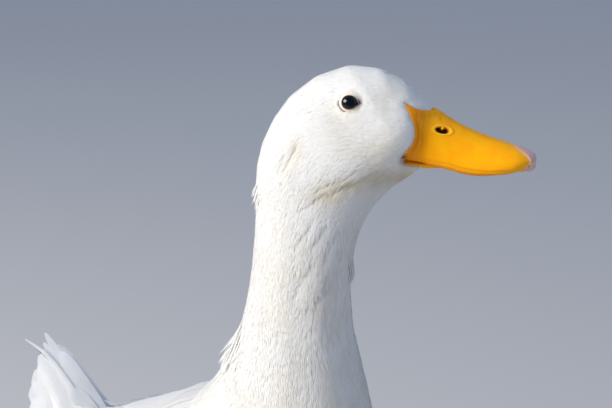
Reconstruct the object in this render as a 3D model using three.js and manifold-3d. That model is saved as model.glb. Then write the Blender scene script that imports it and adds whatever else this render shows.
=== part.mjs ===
// A white domestic duck of the Pekin type, life size, standing on both feet with its head turned left.
// Units are millimetres and +Z is up. The trunk faces -Y, so the duck's own left is +X.
// The body is drawn straight first, with (forward, up) measured from the neck's axis and the floor,
// then the neck is twisted about that axis and the whole is parted by thin cuts into named pieces.
// The outlines are those of the plumage, not of the flesh under it.
import * as THREE from "three";
import { mergeVertices } from "three/addons/utils/BufferGeometryUtils.js";
import Module from "manifold-3d";

const wasm = await Module();
wasm.setup();

// Driving sizes
const GAP = 0.3; // clear space between two neighbouring pieces
const HEAD_TURN = THREE.MathUtils.degToRad(54); // how far the head looks round to the left
const TURN_FROM = 298; // height where the neck starts to twist
const TURN_TO = 400; // height above which the head is turned by the full angle
const HEAD_CUT = 404; // height of the cut between neck and head at the neck's axis
const NECK_CUT = 304; // the same between trunk and neck
const EYE = { forward: 28.6, up: 463, side: 14.2, radius: 8 };
const NOSTRIL = { forward: 80.6, up: 446.6, side: 10.6, length: 4.4, height: 2.3, depth: 3.2, tilt: 0.17 };
const NAIL = { forward: 129.5, halfLength: 8.5, halfWidth: 5.6 };
const HOCK = { forward: -139, up: 75, side: 46 };
const ANKLE = { forward: -115, up: 13, side: 47 };
const SHANK = { radius: 6.2, atHock: 1.6, atAnkle: 1.2, squash: 0.82 }; // swellings at its two ends
const THIGH = { hockRadius: 11, swell: 22 };
const WING = {
  wrist: 0.27, // shares of the way along the body, counted from the tail's root
  tip: 0.012,
  upperEdge: 0.43, // angles from the spine's ridge, in radians
  lowerEdge: 1.74,
  armAngle: 0.97,
  thickness: 9,
  edgeThickness: 1.2,
  tipLift: 7, // how far the tip stands off the rump
};
const TAIL = {
  forward: -240, // where the feathers' roots are
  up: 168,
  rise: THREE.MathUtils.degToRad(27),
  length: 108,
  rootHalf: 33, // half width at the roots and at the tips
  tipHalf: 22,
  arch: 0.012, // drop of the outer feathers, per square millimetre aside
  thickness: 2.4,
  feathers: 10,
};
// The toes from the inner to the outer, with the angles in degrees that they point outwards
const TOES = [
  { name: "inner", length: 49, angle: -18 },
  { name: "middle", length: 66, angle: 5 },
  { name: "outer", length: 61, angle: 26 },
];
const TOE = { rootRadius: 5.2, tipRadius: 3.1, knuckle: 0.55 };
const WEB = { under: 0.5, thickness: 1.8 };
const HIND_TOE = { length: 15, angle: 201, up: 12 };
const CLAW = { length: 8, radius: 2.1, point: 0.5 };

// The colours of the duck's parts
const white = new THREE.MeshStandardMaterial({ color: 0xf4f2ec, roughness: 0.8 });
const orange = new THREE.MeshStandardMaterial({ color: 0xf5a30a, roughness: 0.45 });
const legOrange = new THREE.MeshStandardMaterial({ color: 0xe8791a, roughness: 0.55 });
const horn = new THREE.MeshStandardMaterial({ color: 0xdcc0ad, roughness: 0.4 });
const black = new THREE.MeshStandardMaterial({ color: 0x15151c, roughness: 0.1 });

// A point from its distance forward of the neck's axis, its height and its distance to the duck's left.
const place = (forward, up, side = 0) => new THREE.Vector3(side, -forward, up);

// Twists a point of the straight body about the neck's axis, by nothing on the trunk and fully on the head.
function turned(point) {
  const share = THREE.MathUtils.smoothstep(point.z, TURN_FROM, TURN_TO);
  return point.clone().applyAxisAngle(new THREE.Vector3(0, 0, 1), HEAD_TURN * share);
}

// Joining and cutting

function solidOf(geometry) {
  const bare = geometry.index ? geometry.toNonIndexed() : geometry.clone();
  bare.deleteAttribute("normal");
  bare.deleteAttribute("uv");
  const merged = mergeVertices(bare, 1e-4);
  return new wasm.Manifold(
    new wasm.Mesh({
      numProp: 3,
      vertProperties: new Float32Array(merged.attributes.position.array),
      triVerts: new Uint32Array(merged.index.array),
    }),
  );
}

function node(name, solid, material) {
  const mesh = solid.getMesh();
  const geometry = new THREE.BufferGeometry();
  geometry.setAttribute("position", new THREE.Float32BufferAttribute(mesh.vertProperties, 3));
  geometry.setIndex([...mesh.triVerts]);
  geometry.computeVertexNormals();
  const made = new THREE.Mesh(geometry, material);
  made.name = name;
  return made;
}

// A large block that fills the space on one side of a level or tilted plane through a point.
function halfSpace(point, normal) {
  const size = 1200;
  const block = new THREE.BoxGeometry(size, size, size);
  block.translate(0, 0, size / 2);
  block.applyQuaternion(new THREE.Quaternion().setFromUnitVectors(new THREE.Vector3(0, 0, 1), normal));
  block.translate(point.x, point.y, point.z);
  return solidOf(block);
}

// Parts a solid at a plane, with the gap between the halves: [the half on the normal's side, the other].
function parted(solid, point, normal) {
  const step = normal.clone().multiplyScalar(GAP / 2);
  const above = halfSpace(point.clone().add(step), normal);
  const below = halfSpace(point.clone().sub(step), normal.clone().negate());
  return [solid.intersect(above), solid.intersect(below)];
}

// Shapes

// Six times the volume inside a closed surface, negative when its faces point inwards.
function signedVolume(points, index) {
  let sum = 0;
  for (let i = 0; i < index.length; i += 3) {
    const [a, b, c] = [points[index[i]], points[index[i + 1]], points[index[i + 2]]];
    sum += a.dot(new THREE.Vector3().crossVectors(b, c));
  }
  return sum;
}

// A closed surface over rings of points, with a fan on the middle of each end ring.
function closedOver(rings) {
  const around = rings[0].length;
  const middle = (ring) => ring.reduce((sum, p) => sum.add(p), new THREE.Vector3()).divideScalar(around);
  const points = [...rings.flat(), middle(rings[0]), middle(rings.at(-1))];
  const [first, last] = [points.length - 2, points.length - 1];
  const index = [];
  for (let i = 0; i < around; i++) {
    const j = (i + 1) % around;
    const end = (rings.length - 1) * around;
    index.push(first, j, i, last, end + i, end + j);
    for (let ring = 0; ring < rings.length - 1; ring++) {
      const [a, b] = [ring * around + i, ring * around + j];
      index.push(a, b, b + around, a, b + around, a + around);
    }
  }
  if (signedVolume(points, index) < 0) index.reverse();
  const geometry = new THREE.BufferGeometry().setFromPoints(points);
  geometry.setIndex(index);
  return geometry;
}

// Sags and fullnesses are shares of one: in a curve beside the half widths they count as millimetres.
const SHARE_SCALE = 40;

// A body through stations. Each gives its upper and lower point as [forward, up], its half width,
// its sag (how far its widest level lies below the middle, as a share of the half height)
// and its fullness (1 for an ellipse, more for a boxy section).
class Loft {
  constructor(stations) {
    const curve = (points) => new THREE.CatmullRomCurve3(points, false, "centripetal");
    this.count = stations.length;
    this.upper = curve(stations.map((s) => place(...s.top)));
    this.lower = curve(stations.map((s) => place(...s.foot)));
    const scaled = (share) => SHARE_SCALE * share;
    const shapeOf = (s) => new THREE.Vector3(s.half, scaled(s.sag ?? 0), scaled(s.full ?? 1));
    this.shape = curve(stations.map(shapeOf));
  }

  // The surface at a share of the way along and an angle from the top, grown outwards by grow.
  at(along, angle, grow = 0) {
    const top = this.upper.getPoint(along);
    const foot = this.lower.getPoint(along);
    const shape = this.shape.getPoint(along);
    const middle = top.clone().add(foot).divideScalar(2);
    const upright = top.sub(foot).divideScalar(2);
    const height = upright.length();
    const [across, up] = [Math.sin(angle), Math.cos(angle)];
    const lift = up - (shape.y / SHARE_SCALE) * across * across;
    const out = Math.sign(across) * Math.abs(across) ** (SHARE_SCALE / shape.z);
    const point = middle.addScaledVector(upright, lift * (1 + grow / height));
    point.x += out * (shape.x + grow);
    return point;
  }

  // One ring of points at each station
  rings(around, grow = 0) {
    const point = (i, j) => this.at(i / (this.count - 1), (2 * Math.PI * j) / around, grow);
    const ring = (i) => Array.from({ length: around }, (_, j) => point(i, j));
    return Array.from({ length: this.count }, (_, i) => ring(i));
  }
}

// A round limb along a curve, with the radius given as a function of the share of its length.
function limb(points, radiusAt, steps, around, squash = 1) {
  const curve = new THREE.CatmullRomCurve3(points);
  const frames = curve.computeFrenetFrames(steps);
  const rings = Array.from({ length: steps + 1 }, (_, i) => {
    const centre = curve.getPointAt(i / steps);
    const tangent = frames.tangents[i];
    const side = new THREE.Vector3().crossVectors(tangent, new THREE.Vector3(0, 0, 1)).normalize();
    const up = new THREE.Vector3().crossVectors(side, tangent);
    const radius = radiusAt(i / steps);
    return Array.from({ length: around }, (_, j) => {
      const angle = (2 * Math.PI * j) / around;
      return centre
        .clone()
        .addScaledVector(up, radius * Math.cos(angle))
        .addScaledVector(side, radius * squash * Math.sin(angle));
    });
  });
  return solidOf(closedOver(rings));
}

// The body, from the tail's root along the trunk, up the neck and over the head to the brow

const BODY = new Loft([
  { top: [-258, 182], foot: [-255, 169], half: 13 },
  { top: [-237, 197], foot: [-237, 138], half: 40 },
  { top: [-214, 207], foot: [-218, 116], half: 57 },
  { top: [-183, 220], foot: [-188, 92], half: 74, sag: 0.06 },
  { top: [-150, 234], foot: [-152, 76], half: 84.5, sag: 0.1 },
  { top: [-118, 249], foot: [-112, 69], half: 91, sag: 0.12 },
  { top: [-90, 263], foot: [-70, 73], half: 92, sag: 0.12 },
  { top: [-69, 277], foot: [-28, 89], half: 87, sag: 0.1 },
  { top: [-55, 291], foot: [10, 117], half: 76, sag: 0.08 },
  { top: [-46, 304], foot: [37, 155], half: 63, sag: 0.06 },
  { top: [-39.5, 317], foot: [50, 198], half: 50.5 },
  { top: [-35.5, 330], foot: [51, 238], half: 42.5 },
  { top: [-32, 343], foot: [42, 277], half: 36.6 },
  { top: [-29.6, 355], foot: [33.2, 312], half: 32.3 },
  { top: [-28, 367], foot: [31, 342], half: 30 },
  { top: [-26.8, 381], foot: [31, 364], half: 27.8 },
  { top: [-26, 395], foot: [34.5, 384], half: 26.6 },
  { top: [-26, 409], foot: [42, 399], half: 26.2 },
  { top: [-25.2, 423], foot: [50, 410], half: 26.5 },
  { top: [-22, 436.5], foot: [57, 417.5], half: 26.5 },
  { top: [-15.5, 450.5], foot: [62, 421], half: 26 },
  { top: [-6, 464], foot: [65, 423], half: 25 },
  { top: [9, 475.5], foot: [66.5, 424.5], half: 24 },
  { top: [28, 482], foot: [67.5, 425.5], half: 22.5 },
  { top: [46, 480.2], foot: [68.5, 426], half: 20 },
  { top: [60, 473.6], foot: [69.5, 426.5], half: 17 },
  { top: [69, 466], foot: [70.5, 427.5], half: 14 },
  { top: [74, 460.2], foot: [72, 429], half: 11 },
]);

// Swellings and hollows of the face, on both sides: where in side view, how wide, and how far out.
const FACE = [
  { name: "cheek", at: [52, 441], reach: 13, out: 2.6 },
  { name: "jaw", at: [28, 431], reach: 15, out: 1.6 },
  { name: "brow", at: [30, 473], reach: 9, out: 1.0 },
  { name: "lore", at: [52, 463], reach: 9, out: -1.2 },
  { name: "socket", at: [28, 462], reach: 9, out: -1.4 },
  { name: "groove behind the cheek", at: [-2, 437], reach: 10, out: -1.3 },
];

function withFace(point) {
  const shaped = point.clone();
  for (const { at, reach, out } of FACE) {
    const distance = Math.hypot(-point.y - at[0], point.z - at[1]) / reach;
    const side = THREE.MathUtils.clamp(point.x / 12, -1, 1);
    shaped.x += out * side * Math.exp(-distance * distance);
  }
  return shaped;
}

const bodySolid = (grow) =>
  solidOf(closedOver(BODY.rings(30, grow).map((ring) => ring.map((p) => turned(withFace(p))))));

const body = bodySolid(0);

// The upper bill, as a closed shape that starts inside the head
const UPPER_BILL = new Loft([
  { top: [46, 464], foot: [46, 432], half: 10.5, sag: 0.4 },
  { top: [60, 464], foot: [60, 431], half: 12.6, sag: 0.4 },
  { top: [74.6, 460.4], foot: [74.6, 427], half: 13.2, sag: 0.5 },
  { top: [85, 452.8], foot: [85, 423.8], half: 13, sag: 0.55 },
  { top: [95, 446.8], foot: [95, 421.6], half: 13.2, sag: 0.55 },
  { top: [105, 442.2], foot: [105, 420.3], half: 13.8, sag: 0.55 },
  { top: [115, 438.6], foot: [115, 421], half: 14.6, sag: 0.5 },
  { top: [123, 436], foot: [123, 422.3], half: 14.4, sag: 0.45 },
  { top: [129, 433.6], foot: [129, 423.4], half: 12, sag: 0.4 },
  { top: [133, 431.2], foot: [133, 424.7], half: 7.5, sag: 0.3 },
  { top: [134.8, 429.2], foot: [134.8, 426.6], half: 2.6, sag: 0 },
]);

// The lower bill, a thin spoon that closes inside the rims of the upper one
const SPOON = [
  { top: [48, 430], foot: [48, 424.5], half: 9 },
  { top: [62, 430.2], foot: [62, 425], half: 10 },
  { top: [75, 428.2], foot: [75, 424.2], half: 9.8 },
  { top: [90, 425.6], foot: [90, 422.4], half: 9.6 },
  { top: [105, 424.5], foot: [105, 421.5], half: 10 },
  { top: [117, 425.1], foot: [117, 422.2], half: 10.4 },
  { top: [125, 426.2], foot: [125, 423.4], half: 7.8 },
  { top: [128, 426.6], foot: [128, 424.4], half: 3.2 },
];
const LOWER_BILL = new Loft(SPOON.map((station) => ({ ...station, full: 1.6 })));

// The space it closes into, which is open below
const MOUTH = { above: 1.2, below: 14, beside: 1.8, full: 3.6 };
const MOUTH_SPACE = new Loft(
  SPOON.map(({ top, foot, half }) => ({
    top: [top[0], top[1] + MOUTH.above],
    foot: [foot[0], foot[1] - MOUTH.below],
    half: half + MOUTH.beside,
    full: MOUTH.full,
  })),
);

const billSolid = (loft, around) =>
  solidOf(closedOver(loft.rings(around).map((ring) => ring.map(turned))));

// The edge of the plumage on the bill, drawn in side view and cut right across the head:
// from the point on the ridge back to the sharp corner, round the cheek and down to the gape.
function featherEdge(shift) {
  const shape = new THREE.Shape();
  shape.moveTo(78 + shift, 520);
  shape.lineTo(76.5 + shift, 463);
  shape.lineTo(58.5 + shift, 463.4 - shift);
  shape.quadraticCurveTo(66.5 + shift, 452, 65.2 + shift, 443);
  shape.quadraticCurveTo(64 + shift, 436.5, 56.5 + shift, 431.5);
  shape.lineTo(60 + shift, 425.6);
  shape.lineTo(69 + shift, 424.6);
  shape.lineTo(72 + shift, 400);
  shape.lineTo(200, 400);
  shape.lineTo(200, 520);
  const block = new THREE.ExtrudeGeometry(shape, { depth: 120, bevelEnabled: false, curveSegments: 4 });
  block.translate(0, 0, -60);
  // The shape's (x, y) are (forward, up), so its depth runs across the head.
  block.applyMatrix4(new THREE.Matrix4().makeBasis(place(1, 0), place(0, 1), new THREE.Vector3(-1, 0, 0)));
  block.applyMatrix4(new THREE.Matrix4().makeRotationZ(HEAD_TURN));
  return solidOf(block);
}

// An upright oval post through the bill's tip, which marks off the nail.
function nailPost(grow) {
  const post = new THREE.CylinderGeometry(1, 1, 60, 14);
  post.rotateX(Math.PI / 2);
  post.scale(NAIL.halfWidth + grow, NAIL.halfLength + grow, 1);
  post.translate(0, -NAIL.forward, 430);
  post.rotateZ(HEAD_TURN);
  return solidOf(post);
}

// An oval ball somewhere on the turned head, on the left (side 1) or the right (side -1).
function headBall({ forward, up, side }, radii, which, tilt = 0) {
  const ball = new THREE.SphereGeometry(1, 12, 9);
  ball.rotateX(Math.PI / 2);
  ball.scale(...radii);
  ball.rotateX(tilt);
  ball.translate(which * side, -forward, up);
  ball.rotateZ(HEAD_TURN);
  return solidOf(ball);
}

function bill() {
  const whole = billSolid(UPPER_BILL, 18).add(body.intersect(halfSpace(place(0, 420), place(0, 1))));
  let upper = whole.intersect(featherEdge(0)).subtract(billSolid(MOUTH_SPACE, 10));
  for (const which of [1, -1]) {
    const radii = [NOSTRIL.depth, NOSTRIL.length, NOSTRIL.height];
    upper = upper.subtract(headBall(NOSTRIL, radii, which, NOSTRIL.tilt));
  }
  const nail = upper.intersect(nailPost(0));
  upper = upper.subtract(nailPost(GAP));
  const lower = billSolid(LOWER_BILL, 12).intersect(featherEdge(0));
  return { upper, lower, nail };
}

const largest = (solid) => solid.decompose().sort((a, b) => b.volume() - a.volume())[0];

const { upper: upperBill, lower: lowerBill, nail: billNail } = bill();
const eyes = [1, -1].map((which) => headBall(EYE, [EYE.radius, EYE.radius, EYE.radius], which));
const socketRadius = EYE.radius + GAP;
const sockets = [1, -1].map((which) => headBall(EYE, [socketRadius, socketRadius, socketRadius], which));

let faceSolid = body.subtract(featherEdge(-GAP));
for (const socket of sockets) faceSolid = faceSolid.subtract(socket);
const [headSolid, belowHead] = parted(faceSolid, place(0, HEAD_CUT), new THREE.Vector3(0, 0, 1));
const [neckSolid, trunkSolid] = parted(belowHead, place(0, NECK_CUT), place(0.5, 0.866).normalize());

// A folded wing: a shell that lies on the trunk's side, from its upper edge near the spine to its
// lower edge on the flank, thickest along the arm and drawn to a point over the rump.
function wing(which, spare = 0) {
  const [lengthSteps, acrossSteps] = [10, 5];
  const { lerp, smoothstep } = THREE.MathUtils;
  const spread = (share) => Math.sqrt(1 - (1 - Math.min(1, share / 0.45 + 0.03)) ** 2);
  const edge = (share, widest, atTip, from) =>
    lerp(lerp(WING.armAngle, widest, spread(share)), atTip, smoothstep(share, from, 1));
  const grid = (outer) =>
    Array.from({ length: lengthSteps + 1 }, (_, i) => {
      const share = (i / lengthSteps) ** 1.3;
      const along = lerp(WING.wrist, WING.tip, share);
      return Array.from({ length: acrossSteps + 1 }, (_, j) => {
        const across = j / acrossSteps;
        const upper = edge(share, WING.upperEdge, 0.62, 0.6) - spare / 20;
        const lower = edge(share, WING.lowerEdge, 0.95, 0.35) + spare / 20;
        const angle = lerp(upper, lower, across);
        const swell = Math.sin(Math.PI * across) ** 0.7 * Math.min(1, 5 * share + 0.25) * (1 - 0.6 * share);
        const rise = outer ? WING.edgeThickness + WING.thickness * swell + spare : -spare;
        return BODY.at(along, which * angle, WING.tipLift * share ** 4 + rise);
      });
    });
  const [inner, outer] = [grid(false), grid(true)];
  return solidOf(closedOver(inner.map((row, i) => [...row, ...outer[i].slice().reverse()])));
}

// The tail: a nearly closed fan of pointed feathers, arched from side to side, the middle ones longest.
function tail() {
  const shape = new THREE.Shape();
  // A point of the fan, from its share across (-1 to 1) and its distance behind the roots
  const half = (back) => THREE.MathUtils.lerp(TAIL.rootHalf, TAIL.tipHalf, back / TAIL.length);
  const spot = (across, back) => [across * half(back), back];
  const reach = (across) => TAIL.length * (1 - 0.3 * Math.abs(across) ** 1.4);
  shape.moveTo(...spot(-1, 0));
  for (let i = 0; i < TAIL.feathers; i++) {
    const width = 2 / TAIL.feathers;
    const across = -1 + width * (i + 0.5);
    shape.lineTo(...spot(across - width / 2, reach(across) - 11));
    shape.lineTo(...spot(across - width / 4, reach(across) - 3));
    shape.lineTo(...spot(across, reach(across)));
    shape.lineTo(...spot(across + width / 4, reach(across) - 3));
  }
  shape.lineTo(...spot(1, reach(1) - 11));
  shape.lineTo(...spot(1, 0));
  const fan = new THREE.ExtrudeGeometry(shape, { depth: TAIL.thickness, bevelEnabled: false });
  const points = fan.getAttribute("position");
  for (let i = 0; i < points.count; i++) {
    points.setZ(i, points.getZ(i) - TAIL.arch * points.getX(i) ** 2);
  }
  return solidOf(fan.rotateX(TAIL.rise).translate(0, -TAIL.forward, TAIL.up));
}

// The coverts that clothe the tail's root above and below.
const TAIL_ROOT = new Loft([
  { top: [-224, 202], foot: [-228, 136], half: 41 },
  { top: [-244, 202], foot: [-252, 148], half: 39 },
  { top: [-264, 204], foot: [-273, 164], half: 35 },
  { top: [-285, 205.5], foot: [-292, 183], half: 28 },
  { top: [-303, 208.5], foot: [-306, 199], half: 17 },
]);

const bodyGrown = bodySolid(GAP);
const wings = [1, -1].map((which) => wing(which).subtract(bodyGrown));
const tailSolid = largest(
  tail()
    .add(solidOf(closedOver(TAIL_ROOT.rings(18))))
    .subtract(bodyGrown)
    .subtract(wing(1, GAP))
    .subtract(wing(-1, GAP))
    .subtract(halfSpace(place(-170, 200), place(1, 0))),
);

// Legs. Each function builds the left one for which = 1 and the right one for which = -1.

// The scaly shank from hock to ankle, grown by grow all round and at its ends
function shank(which, grow = 0) {
  const hock = place(HOCK.forward, HOCK.up, which * HOCK.side);
  const ankle = place(ANKLE.forward, ANKLE.up, which * ANKLE.side);
  const reach = ankle.clone().sub(hock).normalize().multiplyScalar(grow);
  const bump = (share, where, width) => Math.exp(-(((share - where) / width) ** 2));
  const radius = (share) =>
    SHANK.radius + SHANK.atHock * bump(share, 0.04, 0.12) + SHANK.atAnkle * bump(share, 1, 0.14) + grow;
  const path = [hock.clone().sub(reach), hock.clone().lerp(ankle, 0.5), ankle.clone().add(reach)];
  return limb(path, radius, 9, 10, SHANK.squash + 0.12 * grow);
}

// The feathered thigh, mostly sunk in the flank, that swells from the hock up
function thigh(which) {
  const hock = place(HOCK.forward - 1, HOCK.up - 3, which * HOCK.side);
  const middle = place(HOCK.forward + 16, HOCK.up + 22, which * (HOCK.side + 8));
  const hip = place(HOCK.forward + 50, HOCK.up + 66, which * HOCK.side);
  const opening = (share) => Math.sin((Math.PI / 2) * Math.min(1, 1.5 * share));
  const closing = (share) => 1.1 * Math.max(0, share - 0.75);
  const radius = (share) => THIGH.hockRadius + THIGH.swell * (opening(share) - closing(share));
  return limb([hock, middle, hip], radius, 6, 14);
}

function toeDirection(which, degrees) {
  const angle = which * THREE.MathUtils.degToRad(degrees);
  return new THREE.Vector3(Math.sin(angle), -Math.cos(angle), 0);
}

// A claw that leaves a toe's tip and bends down to a blunt point
function claw(tip, way, length, drop, radius) {
  const path = [
    tip.clone().addScaledVector(way, GAP + 0.1),
    tip.clone().addScaledVector(way, length / 2).add(new THREE.Vector3(0, 0, -0.1 * drop)),
    tip.clone().addScaledVector(way, length).add(new THREE.Vector3(0, 0, -drop)),
  ];
  return limb(path, (share) => THREE.MathUtils.lerp(radius, CLAW.point, share), 4, 6, 0.8);
}

// The web between the toes, with a hollow front edge from tip to tip
function webOf(pad, tips) {
  const outline = new THREE.Shape();
  const inPlan = (p) => [p.x, p.y];
  const nearTip = (tip) => inPlan(tip.clone().lerp(pad, 0.045));
  const bay = (a, b) => inPlan(a.clone().add(b).divideScalar(2).lerp(pad, 0.2));
  outline.moveTo(...inPlan(pad.clone().add(place(-3, 0))));
  outline.lineTo(...nearTip(tips[0]));
  outline.quadraticCurveTo(...bay(tips[0], tips[1]), ...nearTip(tips[1]));
  outline.quadraticCurveTo(...bay(tips[1], tips[2]), ...nearTip(tips[2]));
  const options = { depth: WEB.thickness, bevelEnabled: false, curveSegments: 4 };
  const sheet = new THREE.ExtrudeGeometry(outline, options);
  return solidOf(sheet.translate(0, 0, WEB.under));
}

function foot(which) {
  const pad = place(ANKLE.forward, 0, which * ANKLE.side);
  const toes = TOES.map((toe) => {
    const way = toeDirection(which, toe.angle);
    return { ...toe, way, tip: pad.clone().addScaledVector(way, toe.length) };
  });
  let whole = webOf(pad, toes.map((toe) => toe.tip));
  for (const { tip } of toes) {
    // Each toe sinks a little into the floor's level, and is cut off there to small flats.
    const path = [
      pad.clone().setZ(8),
      pad.clone().lerp(tip, 0.3).setZ(4.2),
      pad.clone().lerp(tip, 0.65).setZ(3.5),
      tip.clone().setZ(2.9),
    ];
    const knuckles = (share) => TOE.knuckle * Math.cos(6 * Math.PI * share) ** 2;
    const rounding = (share) => 19 * Math.max(0, share - 0.94);
    const radius = (share) =>
      THREE.MathUtils.lerp(TOE.rootRadius, TOE.tipRadius, share) + knuckles(share) - rounding(share);
    whole = whole.add(limb(path, radius, 8, 6));
  }
  const back = toeDirection(which, HIND_TOE.angle);
  const hindRoot = pad.clone().setZ(HIND_TOE.up);
  const hindTip = hindRoot.clone().addScaledVector(back, HIND_TOE.length).setZ(6);
  const hindPath = [hindRoot, hindRoot.clone().lerp(hindTip, 0.5).setZ(11), hindTip];
  whole = whole.add(limb(hindPath, (share) => THREE.MathUtils.lerp(3.6, 2.1, share), 4, 6));
  const claws = toes.map(({ name, tip, way }) => ({
    name,
    solid: claw(tip.clone().setZ(3.4), way, CLAW.length, 2.1, CLAW.radius),
  }));
  const hindClawRoot = hindTip.clone().addScaledVector(back, 1).setZ(5.6);
  claws.push({ name: "hind", solid: claw(hindClawRoot, back, 5, 2.4, 1.5) });
  return { whole: whole.intersect(halfSpace(place(0, 0), new THREE.Vector3(0, 0, 1))), claws };
}

// The whole duck

const duck = new THREE.Group();
duck.add(node("head", largest(headSolid), white));
duck.add(node("neck", largest(neckSolid), white));
duck.add(node("trunk", largest(trunkSolid), white));
duck.add(node("tail", tailSolid, white));
duck.add(node("bill_upper", largest(upperBill), orange));
duck.add(node("bill_lower", largest(lowerBill), orange));
duck.add(node("bill_nail", largest(billNail), horn));

for (const [i, side] of ["left", "right"].entries()) {
  const which = i === 0 ? 1 : -1;
  const { whole: footWhole, claws } = foot(which);
  const shankGrown = shank(which, GAP);
  duck.add(node(`eye_${side}`, eyes[i], black));
  duck.add(node(`wing_${side}`, largest(wings[i]), white));
  duck.add(node(`thigh_${side}`, largest(thigh(which).subtract(bodyGrown).subtract(shankGrown)), white));
  duck.add(node(`leg_${side}`, shank(which), legOrange));
  duck.add(node(`foot_${side}`, largest(footWhole.subtract(shankGrown)), legOrange));
  for (const { name, solid } of claws) duck.add(node(`claw_${side}_${name}`, solid, horn));
}

// The origin is on the floor, under the middle of the duck's own box.
const box = new THREE.Box3().setFromObject(duck);
const centre = box.getCenter(new THREE.Vector3());
duck.position.set(-centre.x, -centre.y, -box.min.z);

export default duck;
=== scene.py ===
# %% [markdown]
# # A white domestic duck, life size
# A museum keeps a duck as a still model: a skin over the body, thousands of feathers on it, glass-like
# eyes, a waxy orange bill and scaly feet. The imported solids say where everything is. This lesson puts
# the looks on them, one part of the bird after another, in metres and in the solids' own frame.

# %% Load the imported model
import math

import bmesh
import bpy
import numpy as np
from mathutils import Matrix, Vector, noise
from mathutils.bvhtree import BVHTree


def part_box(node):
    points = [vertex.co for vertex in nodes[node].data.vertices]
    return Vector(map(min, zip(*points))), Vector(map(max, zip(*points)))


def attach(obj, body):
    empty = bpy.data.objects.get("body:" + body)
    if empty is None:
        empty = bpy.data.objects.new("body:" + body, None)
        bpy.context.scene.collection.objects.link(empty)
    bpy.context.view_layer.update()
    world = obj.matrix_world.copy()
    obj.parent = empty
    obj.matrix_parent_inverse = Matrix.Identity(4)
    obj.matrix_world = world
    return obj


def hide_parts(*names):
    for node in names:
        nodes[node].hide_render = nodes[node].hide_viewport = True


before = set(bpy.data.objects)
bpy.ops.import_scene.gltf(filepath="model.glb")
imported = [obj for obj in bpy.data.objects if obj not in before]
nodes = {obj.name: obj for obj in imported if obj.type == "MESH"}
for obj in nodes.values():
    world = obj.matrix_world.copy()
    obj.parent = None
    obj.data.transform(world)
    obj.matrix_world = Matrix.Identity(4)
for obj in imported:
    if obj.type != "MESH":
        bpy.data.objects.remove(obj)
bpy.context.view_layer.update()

MM = 0.001
random = np.random.default_rng(11)

# %% [markdown]
# The head looks round to its left, so it gets axes of its own. The two eyes give them: the line through
# the eyes points left, and what is square to it and level points ahead. All that is on the head is then
# measured in millimetres ahead of the eyes, above them and to the left. Places on the trunk are measured
# from the neck's upright axis, which stands a little behind the eyes.

# %% Axes of the head and of the trunk
UP = Vector((0, 0, 1))
TRUNK_AHEAD = Vector((0, -1, 0))


def middle(name):
    low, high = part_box(name)
    return (low + high) / 2


EYE_RADIUS = (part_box("eye_right")[1].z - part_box("eye_right")[0].z) / 2
LEFT = (middle("eye_left") - middle("eye_right")).normalized()
AHEAD = LEFT.cross(UP)
BETWEEN_EYES = (middle("eye_left") + middle("eye_right")) / 2
EYE_SIDE = (middle("eye_left") - middle("eye_right")).length / 2
EYE_CENTRES = [BETWEEN_EYES + side * EYE_SIDE * LEFT for side in (-1, 1)]
NECK_BEHIND_EYES = 28.6 * MM
NECK_AXIS = BETWEEN_EYES - NECK_BEHIND_EYES * AHEAD


def on_head(ahead, up, left=0.0):
    return BETWEEN_EYES + (ahead * AHEAD + up * UP + left * LEFT) * MM


def on_trunk(ahead, height, left=0.0):
    return Vector((NECK_AXIS.x + left * MM, NECK_AXIS.y - ahead * MM, height * MM))


def head_places(points):
    offset = (points - np.array(BETWEEN_EYES)) / MM
    return offset @ np.array(AHEAD), offset @ np.array(UP), offset @ np.array(LEFT)


print("head points to", [round(v, 2) for v in AHEAD], "eye radius in mm", round(EYE_RADIUS / MM, 2))

# %% [markdown]
# The camera comes first, because it decides how fine each part has to be. It stands on the duck's right,
# a little above the eye, and looks straight at the side of the head. The lens is long, so the head keeps
# its true proportions. The right eye lies a little right of the view's middle and above it.

# %% Camera
AZIMUTH, ELEVATION = math.radians(-36), math.radians(15)
EYE_RIGHT_OF_MIDDLE, EYE_ABOVE_MIDDLE, CAMERA_AWAY = 0.0252, 0.0573, 1.0
camera_data = bpy.data.cameras.new("camera")
camera_data.lens = 104.1
camera_data.sensor_width = 36
camera_data.clip_end = 60


def placed(name, data):
    made = bpy.data.objects.new(name, data)
    bpy.context.collection.objects.link(made)
    return made


camera = placed("camera", camera_data)
camera.rotation_euler = (math.pi / 2 - ELEVATION, 0, AZIMUTH)
turn = camera.rotation_euler.to_matrix()
camera_right, camera_up, camera_back = turn.col[0], turn.col[1], turn.col[2]
eye_front = middle("eye_right") + 4 * MM * camera_back
aside = EYE_RIGHT_OF_MIDDLE * camera_right
camera.location = eye_front - aside - EYE_ABOVE_MIDDLE * camera_up + CAMERA_AWAY * camera_back
bpy.context.scene.camera = camera
print("camera at", [round(v, 3) for v in camera.location])

# %% [markdown]
# Every colour below is written as the usual sRGB hex value. Shaders work in linear light, so one
# function turns one into the other. A second one adds a shader node, with its settings and its inputs:
# an input is a value, which stays on the socket, or a link from a node's first output, or from a socket.

# %% Colours and nodes
def linear(hex_value):
    channels = [int(hex_value[i : i + 2], 16) / 255 for i in (1, 3, 5)]
    return (*[c / 12.92 if c < 0.04045 else ((c + 0.055) / 1.055) ** 2.4 for c in channels], 1.0)


def add(tree, kind, inputs=None, **settings):
    node = tree.nodes.new(kind)
    for name, value in settings.items():
        setattr(node, name, value)
    for name, value in (inputs or {}).items():
        if isinstance(value, bpy.types.Node):
            value = value.outputs[0]
        if isinstance(value, bpy.types.NodeSocket):
            tree.links.new(value, node.inputs[name])
        else:
            node.inputs[name].default_value = value
    return node


def new_material(name):
    material = bpy.data.materials.new(name)
    material.use_nodes = True
    material.node_tree.nodes.clear()
    return material, material.node_tree


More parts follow.
